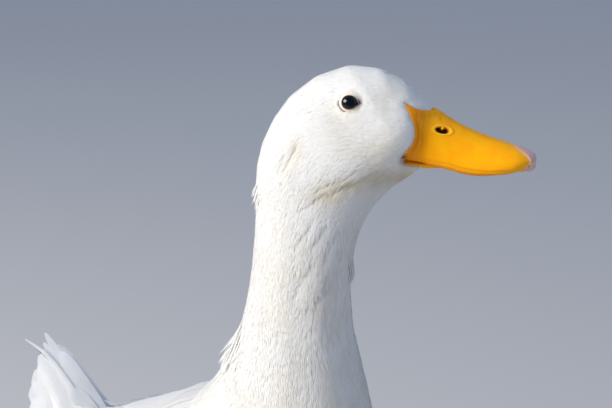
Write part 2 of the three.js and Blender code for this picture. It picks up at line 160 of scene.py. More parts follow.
print("white as linear light", [round(c, 2) for c in linear("#FDFCFA")])

# %% [markdown]
# A white bird on a pale floor is lit so that its own shading draws it: a warm light from the left, a weak
# cool one from the right, and a little bluish light from all round. The floor is matt grey paint.

# %% Floor and lights
FLOOR_HALF = 15  # metres
floor_material, tree = new_material("painted floor")
shader = add(tree, "ShaderNodeBsdfPrincipled", {"Base Color": linear("#C6C2BC"), "Roughness": 0.9})
add(tree, "ShaderNodeOutputMaterial", {"Surface": shader})

bm = bmesh.new()
bmesh.ops.create_grid(bm, x_segments=1, y_segments=1, size=FLOOR_HALF)
floor_mesh = bpy.data.meshes.new("floor")
bm.to_mesh(floor_mesh)
bm.free()
floor_mesh.materials.append(floor_material)
floor = placed("floor", floor_mesh)

world = bpy.data.worlds.new("studio")
world.use_nodes = True
background = world.node_tree.nodes["Background"]
background.inputs["Color"].default_value = linear("#C6DAFF")
background.inputs["Strength"].default_value = 0.56
bpy.context.scene.world = world
CHEST = on_trunk(0, 300)


def softbox(name, right, up, back, size, power, colour):
    """A square light so far right of the chest, above it and towards the camera, and aimed at it."""
    data = bpy.data.lights.new(name, "AREA")
    data.size, data.energy, data.color = size, power, linear(colour)[:3]
    lamp = placed(name, data)
    lamp.location = CHEST + right * camera_right + up * camera_up + back * camera_back
    lamp.rotation_euler = (CHEST - lamp.location).to_track_quat("-Z", "Y").to_euler()


softbox("key", -1.85, 0.75, 1.35, 0.9, 78, "#FFFBF4")
softbox("fill", 2.2, 1.2, 1.4, 2.0, 10, "#CFE0FF")
bpy.context.scene.view_settings.view_transform = "Standard"
print("lights", [light.name for light in bpy.data.lights])

# %% [markdown]
# ## The skin
# Under its feathers a bird has one unbroken skin. The solids of the head, neck, trunk, thighs and wing
# arms are copied, swollen until their thin gaps close, and later melted into one surface. A wing's outer
# half is feathers only, so just its arm is kept.

# %% Copy the flesh
PART_GAP = 0.4 * MM
FLESH = ["head", "neck", "trunk", "thigh_left", "thigh_right", "wing_left", "wing_right"]
WING_ARM = 0.62  # share of the folded wing that holds flesh


def merged_copy(name):
    bm = bmesh.new()
    bm.from_mesh(nodes[name].data)
    bmesh.ops.remove_doubles(bm, verts=bm.verts, dist=1e-6)
    bm.normal_update()
    return bm


def cut_away(bm, place, out_of):
    """Cuts off what lies beyond a plane, and closes the cut."""
    whole = bm.verts[:] + bm.edges[:] + bm.faces[:]
    bmesh.ops.bisect_plane(bm, geom=whole, plane_co=place, plane_no=out_of, clear_outer=True)
    bmesh.ops.holes_fill(bm, edges=bm.edges, sides=0)


def swell(bm, distance):
    bm.normal_update()
    for vert, normal in [(v, v.normal.copy()) for v in bm.verts]:
        vert.co += distance * normal


def add_to(whole, part):
    carrier = bpy.data.meshes.new("carrier")
    part.to_mesh(carrier)
    part.free()
    whole.from_mesh(carrier)
    bpy.data.meshes.remove(carrier)


body = bmesh.new()
for name in FLESH:
    part = merged_copy(name)
    if name.startswith("wing"):
        low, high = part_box(name)
        cut_away(part, Vector((0, low.y + WING_ARM * (high.y - low.y), 0)), -TRUNK_AHEAD)
    swell(part, PART_GAP)
    add_to(body, part)
print("vertices of the flesh", len(body.verts))

# %% [markdown]
# Balls stand for what the solids leave out: the eyes' sockets, a short rump that carries the tail, and the
# loose skin that hangs from the lower bill down the throat. The skin also runs on a little under the
# bill's root, so that the feathers can start right at its edge.

# %% Sockets, rump, throat and the bill's root
RUMP_RADII = Vector((28 * MM, 25 * MM, 20 * MM))
RUMP_BACK, RUMP_UP = 0.10, 0.34  # its middle, as shares of the tail's box
BILL_STUB = ((on_head(48, 0), AHEAD), (on_head(0, -33), -UP))  # two planes cut the bill's root off
THROAT = [  # balls that grow down the throat: ahead, up and radius in millimetres
    (37, -38.2, 6.6), (26, -41, 9.8), (16, -44.2, 13.2), (2, -52, 17.5), (-9, -63, 21), (-17, -80, 22.3),
]
THROAT_BALLS = 16


def ball(centre, radii, segments=32):
    bm = bmesh.new()
    bmesh.ops.create_uvsphere(bm, u_segments=segments, v_segments=segments // 2, radius=1)
    bmesh.ops.scale(bm, vec=radii, verts=bm.verts)
    bmesh.ops.translate(bm, vec=centre, verts=bm.verts)
    return bm


for centre in EYE_CENTRES:
    add_to(body, ball(centre, Vector((EYE_RADIUS + 2 * PART_GAP,) * 3)))
low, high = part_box("tail")
rump = Vector((0, low.y + RUMP_BACK * (high.y - low.y), low.z + RUMP_UP * (high.z - low.z)))
add_to(body, ball(rump, RUMP_RADII))
stub = merged_copy("bill_upper")
for place, out_of in BILL_STUB:
    cut_away(stub, place, out_of)
swell(stub, PART_GAP)
add_to(body, stub)
for share in np.linspace(0, len(THROAT) - 1, THROAT_BALLS).tolist():
    ahead, up, radius = [float(np.interp(share, range(len(THROAT)), values)) for values in zip(*THROAT)]
    add_to(body, ball(on_head(ahead, up), Vector((radius,) * 3) * MM))
body_tree = BVHTree.FromBMesh(body)
print("rump at", [round(v, 3) for v in rump])

# %% [markdown]
# A voxel remesh melts all of it together. It is the usual way to join parts that overlap: it forgets the
# old edges, so no seam is left to hide. The finer the voxel, the sharper the shape and the slower the rest.

# %% Melt the flesh into one skin
SKIN_VOXEL = 1.9 * MM


def object_from(bm, name):
    mesh = bpy.data.meshes.new(name)
    bm.to_mesh(mesh)
    bm.free()
    return placed(name, mesh)


def apply_modifiers(made):
    graph = bpy.context.evaluated_depsgraph_get()
    finished = bpy.data.meshes.new_from_object(made.evaluated_get(graph))
    made.modifiers.clear()
    made.data, old = finished, made.data
    bpy.data.meshes.remove(old)


def remeshed(bm, name, voxel):
    made = object_from(bm, name)
    remesh = made.modifiers.new("remesh", "REMESH")
    remesh.mode = "VOXEL"
    remesh.voxel_size = voxel
    apply_modifiers(made)
    return made


skin = remeshed(body, "skin", SKIN_VOXEL)
print("skin faces", len(skin.data.polygons))

# %% [markdown]
# Feathers lie from the bill towards the tail, like tiles. A line through the middle of the body, from
# the bill's root over the neck to the tail, gives that lie everywhere: a spot on the skin takes the
# direction of the nearest stretch of this spine, laid down flat on the skin. How far along the spine a
# spot is also tells how deep the coat is there.

# %% The spine
SPINE_STEP, SPINE_ROUNDS = 4 * MM, 14
SPINE_HEAD = [(42, -24), (26, -18), (8, -15), (-9, -21), (-20, -36), (-26, -56)]  # ahead and up
SPINE_TRUNK = [  # ahead and height
    (0, 380), (0, 345), (3, 312), (4, 280), (0, 246), (-16, 216), (-46, 192), (-90, 174), (-140, 165),
    (-190, 164), (-235, 174), (-285, 192), (-345, 222),
]


def softened(values, rounds):
    """Each value but the ends becomes half itself and a quarter of each neighbour, again and again."""
    for _ in range(rounds):
        values[1:-1] = (values[:-2] + 2 * values[1:-1] + values[2:]) / 4
    return values


def unit(vectors):
    return vectors / np.maximum(np.linalg.norm(vectors, axis=-1, keepdims=True), 1e-12)


def lengths_along(points):
    return np.r_[0, np.cumsum(np.linalg.norm(np.diff(points, axis=0), axis=1))]


corners = [on_head(*spot) for spot in SPINE_HEAD] + [on_trunk(*spot) for spot in SPINE_TRUNK]
corners = np.array([tuple(corner) for corner in corners])
lengths = lengths_along(corners)
even = np.linspace(0, lengths[-1], int(lengths[-1] / SPINE_STEP) + 1)
spine = np.stack([np.interp(even, lengths, corners[:, axis]) for axis in range(3)], axis=1)
spine = softened(spine, SPINE_ROUNDS)
spine_way = unit(np.gradient(spine, axis=0))
spine_at = lengths_along(spine)
SPINE_LENGTH = spine_at[-1]
print("spine length in mm", round(SPINE_LENGTH / MM))

# %% [markdown]
# Where the neck bends, the nearest stretch would jump, so each spot takes a mean of the near ones. Close to
# the bill feathers simply point away from its root.

# %% Lie of the coat
HEAD_END, NECK_END, CHEST_END = 85 * MM, 215 * MM, 300 * MM  # along the spine
spine_reach = np.interp(spine_at, [0, HEAD_END, NECK_END, CHEST_END], [0.016, 0.02, 0.03, 0.05])
BILL_ROOT = np.array(on_head(44, -24))
AROUND_BILL = 30 * MM
AT_ONCE = 8000  # points, so that the table of their distances stays small


def bell(value, middle, reach):
    """1 in the middle, and fading smoothly to nothing at about twice the reach."""
    return np.exp(-(((value - middle) / reach) ** 2))


def along_spine(points):
    """How far along the spine each point is, the spine's direction there and its nearest point."""
    found = []
    for chunk in np.array_split(points, max(1, len(points) // AT_ONCE)):
        squares = ((chunk[:, None, :] - spine[None]) ** 2).sum(axis=2)
        nearest = squares.min(axis=1, keepdims=True)
        weights = np.exp(-(squares - nearest) / spine_reach[None] ** 2)
        weights /= weights.sum(axis=1, keepdims=True)
        found.append(np.c_[weights @ spine_at, weights @ spine_way, weights @ spine])
    found = np.concatenate(found)
    return found[:, 0], unit(found[:, 1:4]), found[:, 4:7]


def flat_on(ways, normals):
    return unit(ways - normals * (ways * normals).sum(axis=1, keepdims=True))


def lie_of_coat(points, normals):
    at, way, _ = along_spine(points)
    near_bill = bell(at, 0, AROUND_BILL)[:, None]
    return flat_on(unit(way * (1 - near_bill) + unit(points - BILL_ROOT) * near_bill), normals)


crown = np.array([on_head(0, 25)])
print("the coat at the crown points to", lie_of_coat(crown, np.array([UP]))[0].round(2))

# %% [markdown]
# The plumage ends on the bill in a sharp line, with one point on the ridge and one on the side. The line is
# kept as corners, seen from the side: millimetres ahead of the eyes and above them.

# %% The plumage's edge on the bill
EDGE = [
    (60, -6.6), (45.8, -5.9), (40.4, -4.75), (34.2, -1.9), (29.9, 0.4), (33.3, -5.15), (35.6, -10.4),
    (36.7, -15.4), (36.6, -20), (35.1, -24.2), (32.2, -28), (27.9, -31.5), (31.2, -37.2), (41, -38.6),
    (44, -63),
]
PAST_TIP = 200  # the ring round the bill is closed this far ahead


def from_edge(places):
    """Millimetres from the plumage's edge, seen from the side: plus in the plumage, minus on the bill."""
    ahead, up, _ = head_places(places)
    spots = np.stack([ahead, up], axis=1)[:, None]
    line = np.array(EDGE, float)
    start, run = line[:-1][None], np.diff(line, axis=0)[None]
    along = np.clip(((spots - start) * run).sum(axis=2) / (run**2).sum(axis=2), 0, 1)
    gap = np.linalg.norm(spots - start - along[..., None] * run, axis=2).min(axis=1)
    ring = [*EDGE, (PAST_TIP, EDGE[-1][1]), (PAST_TIP, EDGE[0][1])]
    inside = np.zeros(len(places), bool)
    for (x0, y0), (x1, y1) in zip(ring, ring[1:] + ring[:1]):
        if y0 != y1:
            inside ^= ((y0 > up) != (y1 > up)) & (ahead < x0 + (up - y0) / (y1 - y0) * (x1 - x0))
    return np.where(inside, -gap, gap)


print("the eyes lie in mm from the edge", round(float(from_edge(np.array([BETWEEN_EYES]))[0]), 1))

# %% [markdown]
# The solids give the outline of the plumage, so the skin has to lie deeper than they do by the depth of
# the coat: hardly a millimetre at the bill, about two on the head, and a good deal more on the breast.
# Smoothing the skin draws its sharp parts in too far, so they are pushed back out afterwards.

# %% Draw the skin in by the depth of the coat
DEPTH_ALONG = [0, 12 * MM, 40 * MM, HEAD_END, NECK_END, CHEST_END, SPINE_LENGTH]
DEPTH = [0.5 * MM, 0.9 * MM, 1.5 * MM, 2.0 * MM, 4.0 * MM, 7.0 * MM, 6.0 * MM]
EYE_SHARE, EYE_REACH = 0.6, 14 * MM  # round the eyes the coat is shallower
FIRST_ROUNDS, SECOND_ROUNDS, LAST_ROUNDS = 6, 8, 2


def rows_of(items, field, kind=np.float32):
    """A field of all of a mesh's vertices or faces, in rows of three."""
    values = np.empty(len(items) * 3, kind)
    items.foreach_get(field, values)
    return values.reshape(-1, 3)


def positions(mesh):
    return rows_of(mesh.vertices, "co").astype(float)


def outward(mesh):
    return rows_of(mesh.vertex_normals, "vector").astype(float)


def set_positions(mesh, places):
    mesh.vertices.foreach_set("co", places.astype(np.float32).ravel())
    mesh.update()


def push_out(made, distance):
    """Moves each vertex along its normal."""
    set_positions(made.data, positions(made.data) + outward(made.data) * distance[:, None])


def relax(bm, verts, rounds):
    for _ in range(rounds):
        bmesh.ops.smooth_vert(bm, verts=verts, factor=0.5, use_axis_x=True, use_axis_y=True, use_axis_z=True)


def smoothed(made, rounds):
    bm = bmesh.new()
    bm.from_mesh(made.data)
    relax(bm, bm.verts, rounds)
    bm.to_mesh(made.data)
    bm.free()


def coat_depth(places):
    """How deep the coat is at each place; close round the eyes the feathers are shortest."""
    from_eye = np.min([np.linalg.norm(places - np.array(centre), axis=1) for centre in EYE_CENTRES], axis=0)
    depth = np.interp(along_spine(places)[0], DEPTH_ALONG, DEPTH)
    return depth * (1 - EYE_SHARE * bell(from_eye, 0, EYE_REACH))


def tree_of(*names):
    whole = bmesh.new()
    for name in names:
        whole.from_mesh(nodes[name].data)
    tree = BVHTree.FromBMesh(whole)
    whole.free()
    return tree


smoothed(skin, FIRST_ROUNDS)
depth = coat_depth(positions(skin.data))
push_out(skin, -depth)
smoothed(skin, SECOND_ROUNDS)
for _ in range(2):
    places = positions(skin.data)
    gap = np.array([body_tree.find_nearest(Vector(place))[3] for place in places.tolist()])
    under_bill = np.clip(-from_edge(places), 0, 4) * 0.6 * MM
    short = np.clip(gap - coat_depth(places) - under_bill, -1.5 * MM * (under_bill > 0), 3 * MM)
    push_out(skin, short)
    smoothed(skin, LAST_ROUNDS)
print("skin depth in mm", depth.min() / MM, depth.max() / MM)
print("pushed out by up to", round(short.max() / MM, 1), "mm")

# %% [markdown]
# ## The bill
# A duck's bill is a soft waxy sheath over bone. It is smooth, so facets would show at once. A coarse cage
# is laid over the solids by rays shot at them from outside, ring by ring, and a subdivision surface rounds
# it. Where the plumage is in the way the cage dips under it, so the bill grows out of the feathers.

# %% Rings around a solid
FAR = 60 * MM
HALF_WIDTH, RAY_STEP, NEAR_LOWEST = 16, 0.4, 0.25  # millimetres
bill_tree = tree_of("bill_upper", "bill_nail")
front_tree = tree_of("bill_upper", "bill_nail", "head")


def step(low, high, value):
    """0 below the low value, 1 above the high one, and a smooth rise between them."""
    share = np.clip((value - low) / (high - low), 0, 1)
    return share * share * (3 - 2 * share)


def profile(tree, ahead):
    """Highest point of a solid on the middle plane, and the lowest one off it: (top, low, how far off)."""
    top = tree.ray_cast(on_head(ahead, 60), -UP)[0]
    found = []
    for left in np.arange(0, HALF_WIDTH, RAY_STEP).tolist():
        hit = tree.ray_cast(on_head(ahead, -80, -left), UP)[0]
        if hit is not None:
            found.append(((hit - BETWEEN_EYES).z / MM, left))
    low = min(height for height, _ in found)
    off = max(left for height, left in found if height < low + NEAR_LOWEST)
    return (top - BETWEEN_EYES).z / MM, low, off


def from_outside(tree, ahead, level, angle):
    way = math.sin(angle) * LEFT + math.cos(angle) * UP
    return tree.ray_cast(on_head(ahead, level) + FAR * way, -way)[0]


def cage(columns, stations):
    bm = bmesh.new()
    bmesh.ops.create_grid(bm, x_segments=columns, y_segments=len(stations) - 1, size=1)
    bm.verts.ensure_lookup_table()
    return bm, [bm.verts[row * (columns + 1) : (row + 1) * (columns + 1)] for row in range(len(stations))]


print("the bill is in mm", [round(v, 1) for v in profile(bill_tree, 70)], "high, low and wide in its middle")

# %% [markdown]
# A ring of the upper bill runs from one rim over the ridge to the other. The rings stand close together at
# the tip, where the bill curves most. The rounding will shrink the cage a little, so its rims hang lower
# and its tip sticks out further than the solids do.

# %% The upper bill's cage
BILL_STATIONS = [  # millimetres ahead of the eyes
    22, 26.5, 31, 35, 39, 43, 46.5, 57.5, 62, 68, 74, 80, 86, 91, 95.5, 99.3, 102.4, 104.8, 106.7, 107.7,
]
RING = 11  # steps from the ridge down to each rim
RIM_LINE = [(20, -30.6), (27.8, -31.4), (31, -32.9), (35, -34.3), (40, -35.7), (49, -38.6), (57.5, -40.2)]
RIM_DROP, TIP_DROP, LIP_DROP = 2.3, 1.5, 1.1  # the rounding takes so much off the rims, and more in front
RIM_SIDE = 11.0  # how far the rims are from the middle plane
MOUTH_END = 97  # ahead of this the tip is closed below
TIP_STRETCH = 1.9  # the rounding draws the tip in by so much
RAYS_FROM = 0.52  # share of the height that the rays aim at


def rim_of(ahead):
    """The rim's (height, distance from the middle plane) at a station."""
    if ahead > MOUTH_END:
        _, low, off = profile(bill_tree, ahead)
        return low - RIM_DROP, off
    if ahead <= RIM_LINE[-1][0]:
        return float(np.interp(ahead, *zip(*RIM_LINE))), RIM_SIDE
    hit = bill_tree.ray_cast(on_head(ahead, -80, -RIM_SIDE), UP)[0]
    return (hit - BETWEEN_EYES).z / MM - RIM_DROP, RIM_SIDE


bm, rows = cage(2 * RING, BILL_STATIONS)
rims = []
for ahead, row in zip(BILL_STATIONS, rows):
    stretch = TIP_STRETCH * float(np.clip((ahead - MOUTH_END) / (BILL_STATIONS[-1] - MOUTH_END), 0, 1))
    solid_at = ahead - stretch
    top, _, _ = profile(front_tree, solid_at)
    low, off = rim_of(solid_at)
    lip = LIP_DROP * step(50, 70, ahead) * (1 - step(84, 96, ahead))
    drop = float(TIP_DROP * step(72, 96, ahead) + lip)
    rims.append(low - drop)
    level = low + RAYS_FROM * (top - low)
    rim = math.atan2(off, low - level)
    for j, vert in enumerate(row):
        hit = from_outside(front_tree, solid_at, level, rim * (j / RING - 1))
        to_rim = max(0, 1 - 0.5 * min(j, 2 * RING - j))  # the last ones reach down to the rim's own line
        lower = (low - drop - (hit - BETWEEN_EYES).z / MM) * to_rim
        vert.co = hit + stretch * MM * AHEAD + lower * MM * UP
print("rim heights in mm", [round(v, 1) for v in rims])

# %% [markdown]
# So far the cage is a sheet without thickness. Its rims are turned in and up by extruding them three
# times, and the palate then bridges the two inner edges. That makes a closed shell, and a subdivision
# surface rounds it. Under the plumage the rounded bill dives below the skin.

# %% Close and round the upper bill
RIM_TURNS = [(0.9, 0.0), (0.3, 1.3), (0.2, 2.2)]  # millimetres inwards and up
TIP_HALF = 4 * MM  # nearer to the middle plane than this the turns shrink to nothing


def open_edges(bm):
    return [e for e in bm.edges if e.is_boundary]


def closed(bm):
    bmesh.ops.holes_fill(bm, edges=open_edges(bm), sides=0)
    bmesh.ops.recalc_face_normals(bm, faces=bm.faces)
    return bm


def subdivided(made, levels):
    surface = made.modifiers.new("rounding", "SUBSURF")
    surface.levels = surface.render_levels = levels
    apply_modifiers(made)


def dive_under_plumage(made):
    push_out(made, -np.clip(from_edge(positions(made.data)) + 0.25, 0, 2.4) * 1.7 * MM)


inner_verts = []
for column, side in ((0, 1), (-1, -1)):
    edge_verts = {row[column] for row in rows}
    for inwards, upwards in RIM_TURNS:
        edges = [e for e in open_edges(bm) if set(e.verts) <= edge_verts]
        turned = bmesh.ops.extrude_edge_only(bm, edges=edges)["geom"]
        edge_verts = {v for v in turned if isinstance(v, bmesh.types.BMVert)}
        for vert in edge_verts:
            shrink = min(1.0, abs((vert.co - BETWEEN_EYES).dot(LEFT)) / TIP_HALF)
            vert.co += (side * inwards * shrink * LEFT + upwards * shrink * UP) * MM
    inner_verts.append(edge_verts)
inner = [e for e in open_edges(bm) if any(set(e.verts) <= verts for verts in inner_verts)]
bmesh.ops.bridge_loops(bm, edges=inner)
upper_bill = object_from(closed(bm), "upper_bill")
subdivided(upper_bill, 3)
dive_under_plumage(upper_bill)
print("upper bill faces", len(upper_bill.data.polygons))

# %% [markdown]
# The lower bill is a shallow trough that lies inside the upper one and shows only at the back, where it
# spreads to the cheeks. Its rings go all the way round, so the cage is a tube with closed ends.

# %% The lower bill
LOWER_STATIONS = [21, 30, 38, 46, 55, 66, 76, 84, 89, 93, 96, 98.2]
LOWER_RING = 16
LOWER_STARTS = 32  # the solid is measured from here on, and what is behind repeats it
LOWER_DROP = (0.1, 3.0)  # millimetres that the root hangs down, above and below, to show under the rim
LOWER_ROOT_WIDER = 2.2  # the lower bill spreads to the cheeks at its root
lower_tree = tree_of("bill_lower")
bm, rows = cage(LOWER_RING, LOWER_STATIONS)
for ahead, row in zip(LOWER_STATIONS, rows):
    seen = max(ahead, LOWER_STARTS)
    top, low, _ = profile(lower_tree, seen)
    for j, vert in enumerate(row):
        angle = 2 * math.pi * j / LOWER_RING
        hit = from_outside(lower_tree, seen, (top + low) / 2, angle)
        wider = LOWER_ROOT_WIDER * (1 - float(step(28, 48, ahead))) * math.sin(angle)
        vert.co = hit + (ahead - seen) * MM * AHEAD + wider * MM * LEFT
        hang_down = LOWER_DROP[0] + (LOWER_DROP[1] - LOWER_DROP[0]) * (1 - math.cos(angle)) / 2
        vert.co -= hang_down * (1 - float(step(44, 64, ahead))) * MM * UP
bmesh.ops.remove_doubles(bm, verts=bm.verts, dist=0.01 * MM)
lower_bill = object_from(closed(bm), "lower_bill")
subdivided(lower_bill, 2)
dive_under_plumage(lower_bill)
print("lower bill faces", len(lower_bill.data.polygons))

# %% [markdown]
# The nostrils are long oval holes with a swollen pale rim, set well back on the bill. A mesh can only show
# an edge as sharp as its faces are small, so the faces there are split first. Then every vertex is pushed
# in or out by how far it is from the oval: in steeply inside it, out a little around it.

# %% Nostrils
NOSTRIL_AT = (53.0, -16.9)  # ahead of the eyes and above them
NOSTRIL_SHAPE = (4.4, 1.9, 0.2)  # half its length and height, and its tilt
NOSTRIL_DEPTH, NOSTRIL_SWELLING = 2.8, 0.42
OFF_RIDGE = 3  # millimetres from the middle plane that stay smooth


def oval(places, centre, length, height, tilt=0.0):
    """Distance from an oval's middle as seen from the side: 1 on its edge."""
    ahead, up, _ = head_places(places)
    x, y = ahead - centre[0], up - centre[1]
    along, across = x * math.cos(tilt) - y * math.sin(tilt), x * math.sin(tilt) + y * math.cos(tilt)
    return np.hypot(along / length, across / height)


def split_faces(made, chosen, cuts):
    bm = bmesh.new()
    bm.from_mesh(made.data)
    bm.faces.ensure_lookup_table()
    edges = {edge for index in np.flatnonzero(chosen) for edge in bm.faces[int(index)].edges}
    bmesh.ops.subdivide_edges(bm, edges=list(edges), cuts=cuts, use_grid_fill=True)
    bmesh.ops.triangulate(bm, faces=[f for f in bm.faces if len(f.verts) > 4])
    bm.to_mesh(made.data)
    bm.free()


face_middles = rows_of(upper_bill.data.polygons, "center").astype(float)
split_faces(upper_bill, oval(face_middles, NOSTRIL_AT, *NOSTRIL_SHAPE) < 1.9, 2)
places = positions(upper_bill.data)
ahead, up, left = head_places(places)
outside = np.abs(outward(upper_bill.data) @ np.array(LEFT)) > 0.25
edge = oval(places, NOSTRIL_AT, *NOSTRIL_SHAPE)
lappet = oval(places, (NOSTRIL_AT[0] + 0.3, NOSTRIL_AT[1] + 1.5), 1.0, 1.2)
pit = (1 - step(0.80, 1.0, edge)) * step(0.8, 1.1, lappet)
swelling = NOSTRIL_SWELLING * bell(edge, 1.28, 0.26)
push = np.where(outside & (np.abs(left) > OFF_RIDGE), swelling - NOSTRIL_DEPTH * pit, 0)
print("nostril pit vertices", int((pit > 0.5).sum()))

# %% [markdown]
# A shallow groove runs along the bill above its rim, the base is drawn in where it meets the cheek, and
# fine wrinkles cross it there. They are added to the same push, which then moves the vertices at once.

# %% Groove, creases and wrinkles
GROOVE_UP, GROOVE_DEPTH = 4.0, 0.28  # above the rim, and how deep
CREASE_IN, CREASE_DEPTH = 2.4, 0.35  # from the plumage's edge, and how deep
WRINKLE_IN, WRINKLE_DEPTH = 3.2, 0.07
WRINKLE_SIZE = (1.1, 8, 8)  # millimetres ahead, up and to the left
above_rim = up - np.interp(ahead, BILL_STATIONS, softened(np.array(rims), 4))
groove = bell(above_rim, GROOVE_UP, 0.6) * step(34, 60, ahead) * (1 - step(88, 97, ahead))
push -= GROOVE_DEPTH * groove * outside
inwards = -from_edge(places)
base_crease = bell(inwards, CREASE_IN, 1.1) * step(-32, -24, up) * (1 - step(-14, -5, up))
push -= CREASE_DEPTH * base_crease * outside
grain = (np.stack([ahead, up, left], axis=1) / WRINKLE_SIZE).tolist()
wrinkles = np.clip([2.2 * noise.noise(Vector(spot)) for spot in grain], 0, 1)
wrinkles *= bell(inwards, WRINKLE_IN, 2.6) * outside
push -= WRINKLE_DEPTH * wrinkles
push_out(upper_bill, push * MM)
print("pushed in by up to", round(float(-push.min()), 1), "mm, out by up to", round(float(push.max()), 1))

# %% [markdown]
# Marks for the finish are painted on the vertices as values from 0 to 1, each under a name of its own. A
# shader reads them later by that name. So a colour lies exactly where the shape that it belongs to is.

# %% Marks on the bill
def paint(made, name, values):
    layer = made.data.attributes.new(name, "FLOAT", "POINT")
    layer.data.foreach_set("value", np.asarray(values, np.float32))


# painted shade: the nostril's pit, coloured very dark red
paint(upper_bill, "nostril", pit * outside)
paint(upper_bill, "pale", bell(edge, 1.22, 0.2) * outside)
# painted shade: the base crease, the groove and the wrinkles are coloured brown
creased = np.maximum(0.5 * base_crease, 0.4 * groove) * outside
paint(upper_bill, "crease_shade", np.maximum(creased, 0.5 * wrinkles))
paint(upper_bill, "rim", 1 - step(0.5, 3.5, above_rim))
paint(upper_bill, "root", 1 - step(36, 50, ahead))
# painted shade in the corner of the gape
paint(upper_bill, "gape_shade", 0.95 * bell(ahead, 29.5, 3.2) * bell(up, -31.4, 2.3))
ahead, up, _ = head_places(positions(lower_bill.data))
over_rim = up - np.interp(ahead, *zip(*RIM_LINE))
# painted shade along the gap between the lower bill and the upper bill's rim
paint(lower_bill, "gape_shade", 0.35 * step(-0.8, 0.1, over_rim) * (ahead < 62))
paint(lower_bill, "root", 1 - step(30, 50, ahead))
layers = upper_bill.data.attributes
print("marks on the bill", [layer.name for layer in layers if layer.data_type == "FLOAT"])

# %% [markdown]
# At its tip the bill carries the nail, a hard horny shield a little hooked over the end. It is cut from
# a copy of the bill's own surface, so that it fits, then lifted and given a thickness of its own.

# %% The nail
NAIL_START, NAIL_CURVE = 94.0, 0.10  # its edge on the middle plane, and how it curves forward beside it
NAIL_LIFT, NAIL_THICKNESS, NAIL_HOOK = 0.18, 0.5, 0.9
NAIL_FADE = 10  # millimetres over which the share below falls from 1 to 0


def in_nail(place):
    """1 on the nail's edge and less ahead of it."""
    offset = (place - BETWEEN_EYES) / MM
    edge = NAIL_START + NAIL_CURVE * offset.dot(LEFT) ** 2
    return 1 - (offset.dot(AHEAD) - edge) / NAIL_FADE


def ahead_of_nail_edge(made):
    ahead, _, left = head_places(positions(made.data))
    return ahead - NAIL_START - NAIL_CURVE * left**2


bm = bmesh.new()
bm.from_mesh(upper_bill.data)
bm.normal_update()
outside = [f for f in bm.faces if in_nail(f.calc_center_median()) > 1 or f.normal.z < -0.75]
bmesh.ops.delete(bm, geom=outside, context="FACES")
relax(bm, [v for v in bm.verts if v.is_boundary], 3)
bm.normal_update()
for vert, normal in [(v, v.normal.copy()) for v in bm.verts]:
    inwards = float(step(1.0, 0.72, in_nail(vert.co)))
    forward = float(step(98, 108, (vert.co - BETWEEN_EYES).dot(AHEAD) / MM))
    sunk = NAIL_THICKNESS * float(step(0.86, 1.0, in_nail(vert.co)))  # the edge is flush with the bill
    vert.co += normal * (NAIL_LIFT * inwards - sunk) * MM
    vert.co += (normal * 0.6 - 0.25 * UP) * NAIL_HOOK * forward * MM
bmesh.ops.solidify(bm, geom=bm.faces[:], thickness=NAIL_THICKNESS * MM)
bmesh.ops.recalc_face_normals(bm, faces=bm.faces)
bill_nail = object_from(bm, "nail_of_bill")
paint(bill_nail, "inwards", ahead_of_nail_edge(bill_nail))
paint(upper_bill, "near_nail", step(-4.0, 1.0, ahead_of_nail_edge(upper_bill)))
print("nail faces", len(bill_nail.data.polygons))

# %% [markdown]
# ## The eyes
# A duck's eye is nearly all iris, so dark that the pupil hardly shows. The ball is a sphere of the size
# that the solids give, with the clear front bulging slightly. Each eye has axes of its own, because it
# looks out to the side and a little up.

# %% Eyeballs
CORNEA_BULGE, CORNEA_REACH = 0.35 * MM, 3.6 * MM


class Eye:
    """An eye's middle and its own axes: ahead, up and out of the head."""

    def __init__(self, side):
        self.centre = BETWEEN_EYES + side * EYE_SIDE * LEFT
        self.out = (side * LEFT - 0.09 * AHEAD + 0.27 * UP).normalized()
        self.ahead = (AHEAD - AHEAD.dot(self.out) * self.out).normalized()
        self.up = (UP - UP.dot(self.out) * self.out - UP.dot(self.ahead) * self.ahead).normalized()

    def place(self, x, y, z):
        return self.centre + x * self.ahead + y * self.up + z * self.out

    def local(self, places):
        offset = places - np.array(self.centre)
        return [offset @ np.array(axis) for axis in (self.ahead, self.up, self.out)]


EYES = {"left": Eye(1), "right": Eye(-1)}
eyeballs = {}
for name, eye in EYES.items():
    bm = ball(Vector(), Vector((EYE_RADIUS,) * 3), 64)
    for vert in bm.verts:
        from_axis = math.hypot(vert.co.x, vert.co.y)
        bulge = CORNEA_BULGE * math.exp(-((from_axis / CORNEA_REACH) ** 2)) if vert.co.z > 0 else 0
        vert.co = eye.place(vert.co.x, vert.co.y, vert.co.z + bulge)
    bmesh.ops.recalc_face_normals(bm, faces=bm.faces)
    eyeballs[name] = object_from(bm, f"eyeball_{name}")
    x, y, z = eye.local(positions(eyeballs[name].data))
    paint(eyeballs[name], "from_axis", np.where(z > 0, np.hypot(x, y) / MM, 20))
print("eyeballs", {name: len(made.data.polygons) for name, made in eyeballs.items()})

# %% [markdown]
# The lids lie over the ball like a mask with an almond opening. Rings of vertices start on the ball, roll
# over the lid's rim and run out to the skin. There the skin will have a hole, and the last ring takes one
# vertex from each of the hole's, so that the two can be sewn together without a seam.

# %% A lid from rings
OPENING_LENGTH, OPENING_HEIGHT = 4.5 * MM, 3.9 * MM  # half of each
LID_ROWS = [  # share of the opening's half size, and height over the ball in millimetres
    (0.88, -0.5), (0.95, -0.05), (0.99, 0.20), (1.02, 0.36), (1.07, 0.44), (1.13, 0.38), (1.19, 0.22),
    (1.24, 0.10), (1.31, 0.12), (1.45, 0.05),
]
LID_SKIN_ROWS = 5
OVER_BALL, UNDER_SKIN, DRAPE = 0.1 * MM, 0.25 * MM, 0.8 * MM  # how a lid passes from the ball to the skin


